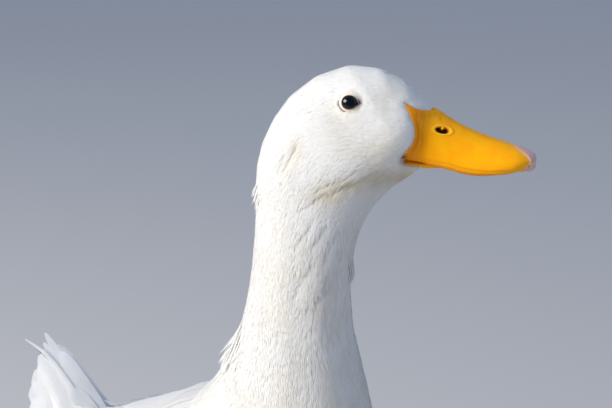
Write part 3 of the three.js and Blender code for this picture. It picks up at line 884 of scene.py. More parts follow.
def almond(angle):
    """The opening's edge, with a drawn-out corner in front and a round one behind."""
    forward = np.cos(angle)
    corner = np.maximum(0, forward) ** 9
    x = OPENING_LENGTH * forward + 0.7 * MM * corner
    y = OPENING_HEIGHT * np.sin(angle) * (1 - 0.08 * forward) - 0.6 * MM * corner
    return x, y


def skin_height(eye, x, y, tree):
    hit = tree.ray_cast(eye.place(x, y, 30 * MM), -eye.out)[0]
    return (hit - eye.centre).dot(eye.out)


def lid(eye, tree, hole):
    """Rings from the opening's edge out to the hole: one column for each vertex of the hole."""
    around, total = len(hole), len(LID_ROWS) + LID_SKIN_ROWS
    bm = bmesh.new()
    bmesh.ops.create_grid(bm, x_segments=around, y_segments=total - 1, size=1)
    bm.verts.ensure_lookup_table()
    ends = [hole[column % around] - eye.centre for column in range(around + 1)]
    for index, vert in enumerate(bm.verts):
        row, column = divmod(index, around + 1)
        end = ends[column]
        end_x, end_y = end.dot(eye.ahead), end.dot(eye.up)
        x, y = (float(v) for v in almond(math.atan2(end_y, end_x)))
        share, height = LID_ROWS[min(row, len(LID_ROWS) - 1)]
        far = max(0, (row - len(LID_ROWS) + 1) / LID_SKIN_ROWS)
        x, y = x * share * (1 - far) + end_x * far, y * share * (1 - far) + end_y * far
        if far == 1:
            vert.co = eye.centre + end
            continue
        to_skin = float(step(1.02, 1.5, share)) if not far else 1.0
        on_ball = math.sqrt(max(EYE_RADIUS**2 - math.hypot(x, y) ** 2, 0)) + OVER_BALL
        on_skin = skin_height(eye, x, y, tree) - UNDER_SKIN * (1 - far)
        draped = (on_ball + on_skin + math.hypot(on_ball - on_skin, DRAPE * (1 - far))) / 2
        level = on_ball + (draped - on_ball) * to_skin
        vert.co = eye.place(x, y, level + height * MM * (1 - far))
    bmesh.ops.remove_doubles(bm, verts=bm.verts, dist=0.001 * MM)
    return bm


print("the opening is in mm", round(2 * OPENING_LENGTH / MM, 1), "long")

# %% [markdown]
# For each eye the skin's faces in front of the ball are cut out, the lid is put in, and its outer ring is
# merged with the hole's edge. The inner edge is folded back behind the lid and closed inside the ball,
# out of sight, so that the skin stays one closed surface.

# %% Sew the lids in
LID_REACH = 9.4 * MM  # radius of the hole that is cut for the lids
TUCK = 0.8  # the folded edge's distance from the ball's middle, as a share


def edge_loop(bm):
    """The vertices along the one open edge of a mesh, in order."""
    here = next(v for v in bm.verts if v.is_boundary)
    loop, last = [], None
    while not loop or here != loop[0]:
        loop.append(here)
        last = [e for e in here.link_edges if e.is_boundary and e is not last][0]
        here = last.other_vert(here)
    return loop


skin_mesh = bmesh.new()
skin_mesh.from_mesh(skin.data)
skin_tree = BVHTree.FromBMesh(skin_mesh)
for name, eye in EYES.items():
    inside = []
    for face in skin_mesh.faces:
        offset = face.calc_center_median() - eye.centre
        out = offset.dot(eye.out)
        if out > 0 and (offset - out * eye.out).length < LID_REACH:
            inside.append(face)
    bmesh.ops.delete(skin_mesh, geom=inside, context="FACES")
    hole = edge_loop(skin_mesh)
    add_to(skin_mesh, lid(eye, skin_tree, [v.co.copy() for v in hole]))
    sewn = [v for v in skin_mesh.verts if v.is_boundary]
    bmesh.ops.remove_doubles(skin_mesh, verts=sewn, dist=0.001 * MM)
    tucked = bmesh.ops.extrude_edge_only(skin_mesh, edges=open_edges(skin_mesh))["geom"]
    for vert in (v for v in tucked if isinstance(v, bmesh.types.BMVert)):
        vert.co = eye.centre + (vert.co - eye.centre) * TUCK
    bmesh.ops.holes_fill(skin_mesh, edges=open_edges(skin_mesh), sides=0)
    print(name, "lid on a hole of", len(hole), "edges")
bmesh.ops.recalc_face_normals(skin_mesh, faces=skin_mesh.faces)
skin_mesh.to_mesh(skin.data)
print("open edges left in the skin:", len(open_edges(skin_mesh)))
skin_mesh.free()

# %% [markdown]
# Feathers stop at the lids, and the lids' colours follow their rings. Both need to know how far out from
# the opening a spot is. There is also a crease behind the eye, where the lids meet and fold.

# %% Places round the eye
NO_EYE = 99.0  # the share of a spot that faces no eye
CREASE_ANGLE, CREASE_REACH = 3.75, 0.95  # radians


def behind_eye(angle):
    """1 where the lid's crease is deepest, behind the eye and below it, and 0 in front."""
    return bell(np.mod(angle + 2 * math.pi, 2 * math.pi), CREASE_ANGLE, CREASE_REACH)


def lid_share(places):
    """How far out from each eye's middle a spot is, where 1 is the opening's edge, and its angle there."""
    share, angle = np.full(len(places), NO_EYE), np.zeros(len(places))
    for eye in EYES.values():
        x, y, z = eye.local(places)
        turn = np.arctan2(y / OPENING_HEIGHT, x / OPENING_LENGTH)
        edge_x, edge_y = almond(turn)
        here = np.where(z > 0, np.hypot(x, y) / np.hypot(edge_x, edge_y), NO_EYE)
        angle = np.where(here < share, turn, angle)
        share = np.minimum(share, here)
    return share, angle


print("skin vertices on the lids", int((lid_share(positions(skin.data))[0] < 1.5).sum()))

# %% [markdown]
# ## The coat
# Each feather is one small mesh, planted with its root in the skin. There are tens of thousands, so they
# aren't objects: a few template vanes are made once, and copies of their vertices are placed by arrays
# and joined into one mesh for each part of the body. First the skin is measured, triangle by triangle.

# %% The skin as a place to plant on
skin_places, skin_normals = positions(skin.data), outward(skin.data)
skin.data.calc_loop_triangles()
skin_corners = rows_of(skin.data.loop_triangles, "vertices", np.int32)
rows = [tuple(place) for place in skin_places.tolist()]
skin_tree = BVHTree.FromPolygons(rows, skin_corners.tolist(), all_triangles=True)
corner_places = skin_places[skin_corners]
corner_normals = unit(skin_normals[skin_corners].mean(axis=1))
first, second, third = corner_places.swapaxes(0, 1)
areas = np.linalg.norm(np.cross(second - first, third - first), axis=1) / 2
face_spots = corner_places.mean(axis=1)
face_at = along_spine(face_spots)[0]
print("skin area in cm2", round(areas.sum() * 1e4))

# %% [markdown]
# Roots are spread at random but evenly, as they are on a bird. Spots are thrown on the triangles, more on
# the larger ones, and a spot is kept only if no kept one is nearer than the spacing. A grid of cells as
# wide as the spacing makes that quick: only the 27 cells round a spot have to be searched.

# %% Spread roots evenly
TRIES = 7.5  # spots thrown on each square of the spacing
NEIGHBOURS = [(i, j, k) for i in (-1, 0, 1) for j in (-1, 0, 1) for k in (-1, 0, 1)]


def scatter(chosen, spacing):
    """Random spots on the chosen triangles, no two nearer than the spacing: (places, triangles)."""
    weights = np.where(chosen, areas, 0)
    tries = int(TRIES * weights.sum() / spacing**2)
    picked = random.choice(len(areas), tries, p=weights / weights.sum())
    a, b = random.random((2, tries))
    fold = a + b > 1
    a, b = np.where(fold, 1 - a, a)[:, None], np.where(fold, 1 - b, b)[:, None]
    corners = corner_places[picked]
    spots = corners[:, 0] + a * (corners[:, 1] - corners[:, 0]) + b * (corners[:, 2] - corners[:, 0])
    cells = np.floor(spots / spacing).astype(int).tolist()
    limit = spacing * spacing
    taken, kept = {}, []
    for index, ((i, j, k), (x, y, z)) in enumerate(zip(cells, spots.tolist())):
        crowded = any(
            (x - ox) ** 2 + (y - oy) ** 2 + (z - oz) ** 2 < limit
            for di, dj, dk in NEIGHBOURS
            for ox, oy, oz in taken.get((i + di, j + dj, k + dk), ())
        )
        if not crowded:
            taken.setdefault((i, j, k), []).append((x, y, z))
            kept.append(index)
    return spots[kept], picked[kept]


print("feathers on a square centimetre at 2 mm, at most", round(2 / 3**0.5 * (10 / 2) ** 2))

# %% [markdown]
# A vane is a small grid, narrow at the root. The smallest feathers end in two barbs, which makes the
# coat look like fine strands. The large ones end round, with a slightly ragged edge.

# %% Template vanes
NEAR_END = 1e-6
BARB_GATHER, BARB_ROUND = 0.25, 0.75  # how far barbs lean to the middle, and how round their tips stand


def vane(rows, columns, width_at, barbed=False, ragged=0.0, fork=0.12):
    """A vane one long and one wide: arrays of (along, across) and of triangles.

    The rows of a grid narrow by width_at. The end is round, or each strip between two columns ends in a
    barb of its own if it is barbed. Ragged draws every second barb or corner of the end back.
    """
    bm = bmesh.new()
    bmesh.ops.create_grid(bm, x_segments=columns, y_segments=rows, size=0.5)
    bm.verts.ensure_lookup_table()
    last = 1 - fork
    for vert in bm.verts:
        vert.co.y = (vert.co.y + 0.5) * last
        vert.co.x *= width_at(vert.co.y)
    at_end = {v for v in bm.verts if v.co.y > last - NEAR_END}
    if not barbed:
        end = sorted(at_end, key=lambda v: v.co.x)
        for number, vert in enumerate(end):
            vert.co.y += fork * (1 - (vert.co.x / end[-1].co.x) ** 2) * (1 - ragged * (number % 2))
    else:
        edges = [e for e in bm.edges if set(e.verts) <= at_end]
        edges.sort(key=lambda e: e.verts[0].co.x + e.verts[1].co.x)
        for number, edge in enumerate(edges):
            grown = bmesh.ops.extrude_edge_only(bm, edges=[edge])["geom"]
            ends = [v for v in grown if isinstance(v, bmesh.types.BMVert)]
            centre = (ends[0].co + ends[1].co) / 2
            round_off = 1 - (2 * centre.x) ** 2 * BARB_ROUND
            out = last + fork * round_off * (1 - ragged * (number % 2))
            tip = Vector((centre.x * (1 - BARB_GATHER * fork), out, 0))
            bmesh.ops.pointmerge(bm, verts=ends, merge_co=tip)
    bmesh.ops.triangulate(bm, faces=bm.faces)
    bm.verts.index_update()
    spots = np.array([(v.co.y, v.co.x) for v in bm.verts])
    faces = np.array([[v.index for v in reversed(f.verts)] for f in bm.faces])  # facing out once hung
    bm.free()
    return spots, faces


def leaf(full, root=0.5, tip=0.5):
    """Width along a vane: a share at the root, one in the middle, a share at the tip."""
    return lambda share: np.interp(share, [0, full, 1], [root, 1, tip])


HEAD_VANE = vane(2, 2, leaf(0.4, 0.55, 0.55), barbed=True, fork=0.3)
NECK_VANE = vane(4, 2, leaf(0.4, 0.5, 0.45), barbed=True, fork=0.3)
BODY_VANE = vane(4, 6, leaf(0.5, 0.4, 0.55), ragged=0.22, fork=0.3)
FLIGHT_VANE = vane(9, 6, leaf(0.5, 0.4, 0.75), ragged=0.06, fork=0.12)
print("triangles in a vane", [len(vane[1]) for vane in (HEAD_VANE, NECK_VANE, BODY_VANE, FLIGHT_VANE)])

# %% [markdown]
# To lie close, a feather is bent along the skin. Its middle line is walked over the surface in a few
# steps, and the vane is hung on that line: lifted off the skin at once by the feathers below it, and
# rising a little more towards its tip.

# %% Hang the vanes
LIFTED_BY = 0.25  # share of a feather's length after which it is fully lifted


def walk(spots, ways, lengths, steps):
    """Middle lines of feathers, laid over the skin: places and normals, one row for each step."""
    lines, tops = [spots], []
    here = spots
    for number in range(steps + 1):
        near = [skin_tree.find_nearest(Vector(place)) for place in here.tolist()]
        normals = corner_normals[[hit[2] for hit in near]]
        ground = np.array([tuple(hit[0]) for hit in near])
        if number:
            lines.append(ground)
        tops.append(normals)
        ways = flat_on(ways, normals)
        here = ground + ways * (lengths / steps)[:, None]
    return np.stack(lines, axis=1), unit(np.stack(tops, axis=1))


def hang(template, lines, tops, widths, lift, rise, cup, roll=0.0):
    """Vertices of all vanes: template spots hung on the middle lines, raised by lift and rise along them.

    The vane is bent down at both edges by cup, and turned round its shaft by roll.
    """
    spots = template[0]
    steps = lines.shape[1] - 1
    along = np.clip(spots[:, 0], 0, 1) * steps
    first = np.minimum(along.astype(int), steps - 1)
    part = (along - first)[None, :, None]
    middle = lines[:, first] * (1 - part) + lines[:, first + 1] * part
    normal = unit(tops[:, first] * (1 - part) + tops[:, first + 1] * part)
    ahead = unit(lines[:, first + 1] - lines[:, first])
    side = np.cross(normal, ahead)
    across = spots[None, :, 1] * widths[:, None]
    share = spots[None, :, 0]
    height = lift[:, None] * np.minimum(1, share / LIFTED_BY) ** 0.5 + rise[:, None] * share
    height += roll * across - cup * np.abs(across) * np.abs(2 * spots[None, :, 1])
    return middle + side * across[..., None] + normal * height[..., None], normal


top = np.array([on_head(0, 60)])
lines, _ = walk(top, lie_of_coat(top, np.array([UP])), np.array([5 * MM]), 2)
print("a feather from above the crown lands, in mm above the eyes, at", head_places(lines[0])[1].round(1))

# %% [markdown]
# The vanes of a part of the body become one mesh. Each has a small patch of its own on the bake map, laid
# out as the skin unrolled round the spine. Its shading mostly follows the skin below it, as real barbs
# blend into one soft surface: with their own normals the feathers would look like metal scales.

# %% Join the feathers
BAKE_PATCH = 0.003
SOFTNESS = 0.8  # share of the skin's own direction in a feather's shading


def join_feathers(name, batches):
    """One mesh from batches of (vertices, template, bake places, tones)."""
    verts, below, faces, bake, along, tones, start = [], [], [], [], [], [], 0
    for (grown, ground), (spots, triangles), roots, tone in batches:
        count, each = grown.shape[:2]
        verts.append(grown.reshape(-1, 3))
        below.append(ground.reshape(-1, 3))
        offsets = start + each * np.arange(count)[:, None, None]
        faces.append((triangles[None] + offsets).reshape(-1, 3))
        patch = np.stack([spots[:, 1] + 0.5, spots[:, 0]], axis=1) * BAKE_PATCH
        bake.append((roots[:, None, :] * (1 - BAKE_PATCH) + patch[None]).reshape(-1, 2))
        along.append(np.tile(spots[:, 0], count))
        tones.append(np.repeat(tone, each))
        start += count * each
    verts, faces, bake = np.concatenate(verts), np.concatenate(faces), np.concatenate(bake)
    mesh = bpy.data.meshes.new(name)
    mesh.vertices.add(len(verts))
    mesh.vertices.foreach_set("co", verts.astype(np.float32).ravel())
    mesh.loops.add(faces.size)
    mesh.loops.foreach_set("vertex_index", faces.astype(np.int32).ravel())
    mesh.polygons.add(len(faces))
    mesh.polygons.foreach_set("loop_start", np.arange(0, faces.size, 3, dtype=np.int32))
    mesh.polygons.foreach_set("use_smooth", np.ones(len(faces), bool))
    mesh.update(calc_edges=True)
    layer = mesh.uv_layers.new(name="OFBake")
    layer.data.foreach_set("uv", bake[faces.ravel()].astype(np.float32).ravel())
    soft = unit(SOFTNESS * np.concatenate(below) + (1 - SOFTNESS) * outward(mesh))
    mesh.normals_split_custom_set_from_vertices(soft.tolist())
    made = placed(name, mesh)
    paint(made, "along", np.concatenate(along))
    paint(made, "tone", np.concatenate(tones))
    paint(made, "cream_and_shade", cream_and_shade_at(positions(mesh)))
    print(name, "feathers", sum(len(batch[3]) for batch in batches), "triangles", len(faces))
    return made


def unwrapped(places, reach):
    """Bake places on the skin unrolled round the spine: the angle across, the distance along it up."""
    at, way, middles = along_spine(places)
    across = unit(np.cross(way, np.array(LEFT) * 0.2 + np.array((1, 0, 0)) * 0.8))
    offset = places - middles
    angle = np.arctan2((offset * across).sum(axis=1), (offset * np.cross(way, across)).sum(axis=1))
    up = np.clip((at - reach[0]) / (reach[1] - reach[0]), 0, 1)
    return np.stack([angle / (2 * math.pi) + 0.5, up], axis=1)


print("a patch on the bake map is", BAKE_PATCH, "of it wide")

# %% [markdown]
# No two feathers are quite alike. Each differs a little in size, and smooth noise turns neighbours the
# same way, so that the coat forms locks and not a pattern.

# %% Small differences
def wander(places, size, amount):
    """Smooth random turns, the same for feathers that are near each other."""
    return amount * np.array([noise.noise(Vector(place)) for place in (places / size).tolist()])


def turned_ways(ways, normals, angles):
    side = np.cross(normals, ways)
    return ways * np.cos(angles)[:, None] + side * np.sin(angles)[:, None]


def varied(count, amount):
    return 1 + amount * random.standard_normal(count).clip(-2, 2)


print("turns of the locks at the bill", wander(face_spots[face_at < 0.02][:4], 0.012, 0.25).round(2))

# %% [markdown]
# Where the head is turned, the coat folds: behind the cheek, under it and down the neck. In the folds'
# valleys the feathers stand lower. In a few other places they have been pushed up and stand out.

# %% Furrows under the cheek, and ruffles
GROOVES = [  # valleys in the coat of each side of the head: (ahead, up) of both ends, how wide, how deep
    ((-28, -21), (-36.5, -36.5), 1.5, 0.8), ((-34.5, -25), (-39, -37), 1.2, 0.55),
    ((14, -39), (0, -45), 1.2, 0.7), ((2, -42), (-13, -49), 1.3, 0.8), ((-5, -39), (-18, -45), 1.0, 0.5),
    ((7, -35), (-5, -41), 1.0, 0.4), ((-12, -46), (-27, -56), 1.3, 0.6), ((-20, -60), (-30, -76), 1.2, 0.4),
    ((-14, -64), (-21, -76), 1.6, 0.5), ((-6, -82), (-24, -113), 2.0, 0.5),
    ((0, -88), (-14, -104), 1.8, 0.45), ((-8, -70), (-16, -84), 1.5, 0.4),
    ((-22, -84), (-31, -104), 1.6, 0.35),
]
RUFFLES = [  # places where feathers stand out of the coat: how far round them, and by how much
    (on_trunk(-18, 326, -26), 6 * MM, 1.6 * MM), (on_trunk(-24, 315, -28), 9 * MM, 3.4 * MM),
    (on_trunk(-10, 411, -21.5), 5 * MM, 1.8 * MM), (on_trunk(22, 369, 19), 5 * MM, 1.8 * MM),
    (on_head(27, -36, -13), 3 * MM, 1.0 * MM), (on_head(27, -36, 13), 3 * MM, 1.0 * MM),
]


def left_standing(spots):
    """The share of the coat's depth that is left in the grooves."""
    flat = np.stack(head_places(spots)[:2], axis=1)
    left = np.ones(len(spots))
    for start, end, reach, share in GROOVES:
        run = np.array(end, float) - start
        along = np.clip(((flat - start) @ run) / (run @ run), 0, 1)[:, None]
        away = np.linalg.norm(flat - start - along * run, axis=1)
        left *= 1 - share * bell(away, 0, reach)
    return left


def ruffled(spots):
    """How much further than its neighbours each feather stands out, in metres, at random."""
    extra = np.zeros(len(spots))
    for place, reach, height in RUFFLES:
        extra += height * bell(np.linalg.norm(spots - np.array(place), axis=1), 0, reach)
    return extra * random.uniform(0.4, 1.2, len(spots)) ** 2


print("triangles of the skin in a furrow", int((left_standing(face_spots) < 0.8).sum()))

# %% [markdown]
# ## Colours of the plumage
# A domestic duck is never pure white: preening oil and dust give it a cream cast, as on the breast. Under
# the cheek, behind it and under the chin the same colour is painted shade, in the folds of the coat. One
# function tells how strong the cast and the painted shade are at a place, for feathers and skin alike,
# and it is painted on both.

# %% Cream cast
CREAM_ALL_OVER, CREAM_BELOW = 0.10, 0.2
# spots one to five, under the cheek and in the folds behind it, and the sixth, under the chin, are painted
# shade
CREAM_AND_SHADE_SPOTS = [  # ahead of the eyes, up, reach ahead, reach up, how strong: millimetres
    (13, -41, 9, 5, 0.6), (0, -46, 10, 5, 0.8), (-15, -52, 10, 6, 0.5), (-31, -25, 4, 7, 0.3),
    (-36, -36, 3.5, 7, 0.3), (30, -46, 12, 6, 0.9), (-6, -8, 14, 12, 0.18),
    (14, -26, 16, 10, 0.25), (-20, -110, 26, 40, 0.22), (-10, -190, 50, 30, 0.28), (20, 3, 10, 8, 0.15),
]


def cream_and_shade_at(places):
    ahead, up, _ = head_places(places)
    total = np.full(len(places), CREAM_ALL_OVER)
    for x, y, reach_x, reach_y, strength in CREAM_AND_SHADE_SPOTS:
        total += strength * bell(ahead, x, reach_x) * bell(up, y, reach_y)
    low = step(190 * MM, 90 * MM, places[:, 2])  # the cast grows from 190 mm down to 90 mm: the belly and the thighs
    return np.clip(total + CREAM_BELOW * low, 0, 1)


print("cream cast under the chin", round(float(cream_and_shade_at(np.array([on_head(30, -46)]))[0]), 2))

# %% [markdown]
# A white feather is hollow keratin without any pigment: it is white because it scatters light, and light
# also comes through it. So half of its finish is a translucent shader, which keeps the shade inside the
# coat bright. The cast, with its painted shade, lies on it in soft patches, and each feather takes a little
# more or less of it. Each feather is also painted a little darker towards its root: painted shade from the
# feathers over it.

# %% Plumage finish
PATCH_SIZE = 1000 / 70.0  # millimetres
plumage, tree = new_material("white plumage")
tone = add(tree, "ShaderNodeAttribute", attribute_name="tone").outputs["Fac"]
cream_and_shade = add(tree, "ShaderNodeAttribute", attribute_name="cream_and_shade").outputs["Fac"]
along = add(tree, "ShaderNodeAttribute", attribute_name="along").outputs["Fac"]
place = add(tree, "ShaderNodeTexCoord").outputs["Object"]
clouds = add(tree, "ShaderNodeTexNoise", {"Vector": place, "Scale": 1000 / PATCH_SIZE, "Detail": 3.0})
patchy = add(tree, "ShaderNodeMapRange", {
    "Value": clouds, "From Min": 0.3, "From Max": 0.7, "To Min": 0.55, "To Max": 1.25,
})
# each feather takes more or less of the cast, so its painted shade falls in streaks
streaks = add(tree, "ShaderNodeMath", {0: tone, 1: 0.5, 2: 0.65}, operation="MULTIPLY_ADD")
streaky = add(tree, "ShaderNodeMath", {0: streaks, 1: patchy}, operation="MULTIPLY")
cast = add(tree, "ShaderNodeMath", {0: cream_and_shade, 1: streaky}, operation="MULTIPLY")
white = add(tree, "ShaderNodeMix", {0: tone, 6: linear("#FDFCFA"), 7: linear("#F8F8F8")}, data_type="RGBA")
cream_shaded = {0: cast, 6: white.outputs[2], 7: linear("#E6DCC2")}
cream_shaded = add(tree, "ShaderNodeMix", cream_shaded, data_type="RGBA").outputs[2]
# painted shade: each feather up to 6 per cent darker towards its root, where the feathers over it shade it
shade = add(tree, "ShaderNodeMapRange", {"Value": along, "From Max": 0.5, "To Min": 0.94, "To Max": 1.0})
dim = add(tree, "ShaderNodeHueSaturation", {"Value": shade, "Color": cream_shaded})
vane_face = add(tree, "ShaderNodeBsdfPrincipled", {
    "Base Color": dim,
    "Roughness": 0.72,  # barbs all point a little differently, so a feather has no sharp shine
    "Specular IOR Level": 0.25,
    "Sheen Weight": 0.15,  # a faint glow where the light grazes the coat, from the finest barbs
    "Sheen Roughness": 0.5,
})
through = add(tree, "ShaderNodeBsdfTranslucent", {"Color": dim})
both = add(tree, "ShaderNodeMixShader", {0: 0.5, 1: vane_face, 2: through})
add(tree, "ShaderNodeOutputMaterial", {"Surface": both})
print("patches of the cast in mm", round(PATCH_SIZE, 1))

# %% [markdown]
# The head's feathers are the smallest: about two millimetres long at the bill and the lids, five on the
# crown and ten at the neck, and so fine that they read as velvet. They start in a sharp edge along the
# bill, where a row of the tiniest ones stands so close that none of the bill shows between them.

# %% Head feathers
HEAD_REACH = (0.0, 0.125)
HEAD_AT, HEAD_LENGTH = [0, 0.03, HEAD_END, HEAD_REACH[1]], [3.2, 4.6, 7.5, 11]
HEAD_WIDTH_AT, HEAD_WIDTH = [0, 0.04, HEAD_REACH[1]], [1.0, 1.3, 1.75]
LID_CLEAR = 1.27  # the share of the lids' opening where feathers start
HEAD_SPACING = 0.88 * MM
EDGE_SPACING, EDGE_LENGTH, EDGE_WIDTH = 0.5 * MM, 1.7, 0.6
LOCK_SIZE, LOCK_TURN = 0.012, 0.25  # metres and radians
RUFFLE_LIFT = 0.6  # how much a ruffled feather's root is lifted, for each part that its tip rises


def head_feathers(spots, triangles, length, width, lift, rise):
    normals, extra = corner_normals[triangles], ruffled(spots)
    ways = lie_of_coat(spots, normals)
    turns = wander(spots, LOCK_SIZE, LOCK_TURN) + 0.05 * random.standard_normal(len(spots))
    lines, tops = walk(spots, turned_ways(ways, normals, turns), length, 2)
    grown = hang(HEAD_VANE, lines, tops, width, lift + RUFFLE_LIFT * extra, rise + extra, 0.06)
    return grown, HEAD_VANE, unwrapped(spots, HEAD_REACH), random.random(len(spots))


def plant_head():
    spots, triangles = scatter(face_at < HEAD_REACH[1], HEAD_SPACING)
    clear, (share, angle) = from_edge(spots), lid_share(spots)
    share = share - 0.2 * behind_eye(angle)
    keep = (clear > 0.2) & (share > LID_CLEAR)
    spots, triangles, clear, share = spots[keep], triangles[keep], clear[keep], share[keep]
    at = along_spine(spots)[0]
    near_lid = np.clip(0.34 + 0.42 * (share - LID_CLEAR), 0.34, 1)
    length = np.interp(at, HEAD_AT, HEAD_LENGTH) * (np.clip(0.5 + 0.10 * clear, 0.5, 1) * near_lid)
    length *= varied(len(spots), 0.12) * MM
    width = np.interp(at, HEAD_WIDTH_AT, HEAD_WIDTH) * varied(len(spots), 0.1) * MM
    depth = coat_depth(spots) * left_standing(spots)
    rise = depth * np.clip(0.5 + 0.025 * random.standard_normal(len(spots)), 0.1, 1.0)
    return head_feathers(spots, triangles, length, width, 0.45 * depth, rise)


def plant_edge():
    near = (np.abs(from_edge(face_spots)) < 2.5) & (face_at < 0.06)
    spots, triangles = scatter(near, EDGE_SPACING)
    clear = from_edge(spots)
    keep = (clear > -0.25) & (clear < 1.1)
    spots, triangles = spots[keep], triangles[keep]
    length = EDGE_LENGTH * varied(len(spots), 0.15) * MM
    width = EDGE_WIDTH * varied(len(spots), 0.1) * MM
    depth = coat_depth(spots)
    return head_feathers(spots, triangles, length, width, 0.75 * depth, 0.35 * depth)


coats = [join_feathers("coat_head", [plant_head(), plant_edge()])]

# %% [markdown]
# Down the neck the feathers grow longer and wider, and they clump: rows lie together in soft furrows
# that run slantwise round the neck. Smooth noise, stretched along the neck, turns neighbours the same way
# and lifts them together. Under a folded wing no feathers are needed, for nobody sees them.

# %% Furrows of the neck, and the wings' cover
WING_REACH, WING_NEAR, WING_THICK = 18 * MM, 10 * MM, 9 * MM  # a wing lies so near over a covered spot
wing_tree = tree_of("wing_left", "wing_right")


def furrows(places, size):
    """Smooth noise that changes slowly along the body and quickly round it."""
    at, way, middles = along_spine(places)
    stretched = (places - middles + way * (0.22 * at)[:, None] + 0.12 * np.array(UP) * at[:, None]) / size
    return np.array([noise.noise(Vector(place)) for place in stretched.tolist()])


def under_wing(places, normals):
    """True where a folded wing lies over the spot."""
    covered = []
    for place, normal in zip(places.tolist(), normals.tolist()):
        place, normal = Vector(place), Vector(normal)
        hit = wing_tree.ray_cast(place, normal, WING_REACH)[0]
        above = place + WING_NEAR * normal
        covered.append(hit is not None and wing_tree.find_nearest(above)[3] < WING_THICK)
    return np.array(covered)


print("spots under the wings", int(under_wing(face_spots[::50], corner_normals[::50]).sum()), "of each 50th")

# %% [markdown]
# From the head's end on the body is covered zone by zone. Each has its own spacing and vane, and the zones
# run a little into each other, so that no line shows between them. On the thighs the feathers are short
# and hang down; on the back, between the wings, they are broad and lie calm, like shingles.

# %% Neck, shoulders, breast and body
COAT_AT = [0.118, 0.165, 0.215, 0.26, 0.33, 0.45, 0.56, 0.64]  # metres along the spine
LENGTH_AT = [11.5, 13.5, 16, 19, 25, 31, 34, 40]  # millimetres
WIDTH_AT = [1.9, 2.3, 3.2, 5.2, 8.5, 11, 13, 14]
CLUMP_AT, CLUMPED = [0.118, 0.2, 0.26, 0.35], [0.36, 0.26, 0.2, 0.14]  # how strongly rows rise together
SHORE, SHORE_SIZE = 0.008, 0.009  # how far neighbouring zones run into each other, and its lobes
ROOT_LIFT = 0.35  # share of the coat's depth
THIGH_TOP, THIGH_FADE = 0.118, 0.02  # height of the thighs' feathers, and how slowly they set in
BODY_MIDDLE, BETWEEN_THIGHS = -0.0073, 0.03
ON_THIGH_DOWN = np.array((0, 0, -1.6))
BACK_STARTS = 0.3  # along the spine
ZONES = [  # name, from and to along the spine, spacing in mm, vane, steps of its line, clump size, cup
    ("coat_neck_upper", 0.118, 0.168, 0.95, NECK_VANE, 3, 0.012, 0.03),
    ("coat_neck_lower", 0.168, 0.218, 1.15, NECK_VANE, 3, 0.015, 0.03),
    ("coat_shoulders", 0.218, 0.268, 1.6, NECK_VANE, 3, 0.018, 0.05),
    ("coat_breast", 0.268, 0.335, 2.5, BODY_VANE, 3, 0.022, 0.05),
    ("coat_body", 0.335, 0.75, 3.6, BODY_VANE, 4, 0.030, 0.06),
]


def zone_spots(low, high, spacing, bare_under_wing):
    """Roots of a zone's feathers, with a ragged border: places, triangles and how far along they are."""
    chosen = (face_at > low - 2 * SHORE) & (face_at < high + 2 * SHORE)
    spots, triangles = scatter(chosen, spacing)
    at = along_spine(spots)[0]
    lobes = 2 * wander(spots, SHORE_SIZE, SHORE)
    ragged_at = at + lobes + random.uniform(-SHORE, SHORE, len(spots)) / 2
    keep = (ragged_at > low) & (ragged_at < high) & (from_edge(spots) > 0)
    if bare_under_wing:
        keep[keep] &= ~under_wing(spots[keep], corner_normals[triangles[keep]])
    return spots[keep], triangles[keep], at[keep]


def zone(name, low, high, spacing, template, steps, clump, cup):
    spots, triangles, at = zone_spots(low, high, spacing * MM, name == "coat_body")
    normals, count = corner_normals[triangles], len(spots)
    ridge = furrows(spots, clump)
    off_middle = np.abs(spots[:, 0] - BODY_MIDDLE)
    on_thigh = np.clip((THIGH_TOP - spots[:, 2]) / THIGH_FADE, 0, 1) * (off_middle > BETWEEN_THIGHS)
    on_back = np.clip((normals[:, 2] - 0.4) / 0.3, 0, 1) * (at > BACK_STARTS)
    ways = flat_on(unit(lie_of_coat(spots, normals) + on_thigh[:, None] * ON_THIGH_DOWN), normals)
    ways = turned_ways(ways, normals, 0.5 * ridge + 0.04 * random.standard_normal(count))
    length = np.interp(at, COAT_AT, LENGTH_AT) * varied(count, 0.12) * MM * (1 - 0.45 * on_thigh)
    width = np.interp(at, COAT_AT, WIDTH_AT) * varied(count, 0.1) * MM * (1 - 0.35 * on_thigh)
    width = width * (1 + 0.6 * on_back)
    depth = coat_depth(spots) * left_standing(spots)
    calm = np.interp(at, CLUMP_AT, CLUMPED) * (1 - 0.8 * on_back)
    rise = depth * np.clip(0.5 + calm * ridge + 0.015 * random.standard_normal(count), 0.1, 1.1)
    extra = ruffled(spots)
    lines, tops = walk(spots, ways, length, steps)
    lift = ROOT_LIFT * depth + RUFFLE_LIFT * extra
    grown = hang(template, lines, tops, width, lift, rise + extra, cup)
    batch = (grown, template, unwrapped(spots, (low - 0.05, high + 0.05)), random.random(count))
    return join_feathers(name, [batch])


coats += [zone(*row) for row in ZONES]

# %% [markdown]
# ## Wings
# A folded wing is a fan shut up: long primaries at the bottom of the pile, the secondaries over them, the
# broad tertials over those, and ever smaller coverts towards the bend. Each row is laid on the solids from
# its roots to its tips. A place there is told by how far along the body it is, and by its angle from the
# ridge of the back. Every feather is rolled a little, so that one edge lies over its neighbour.

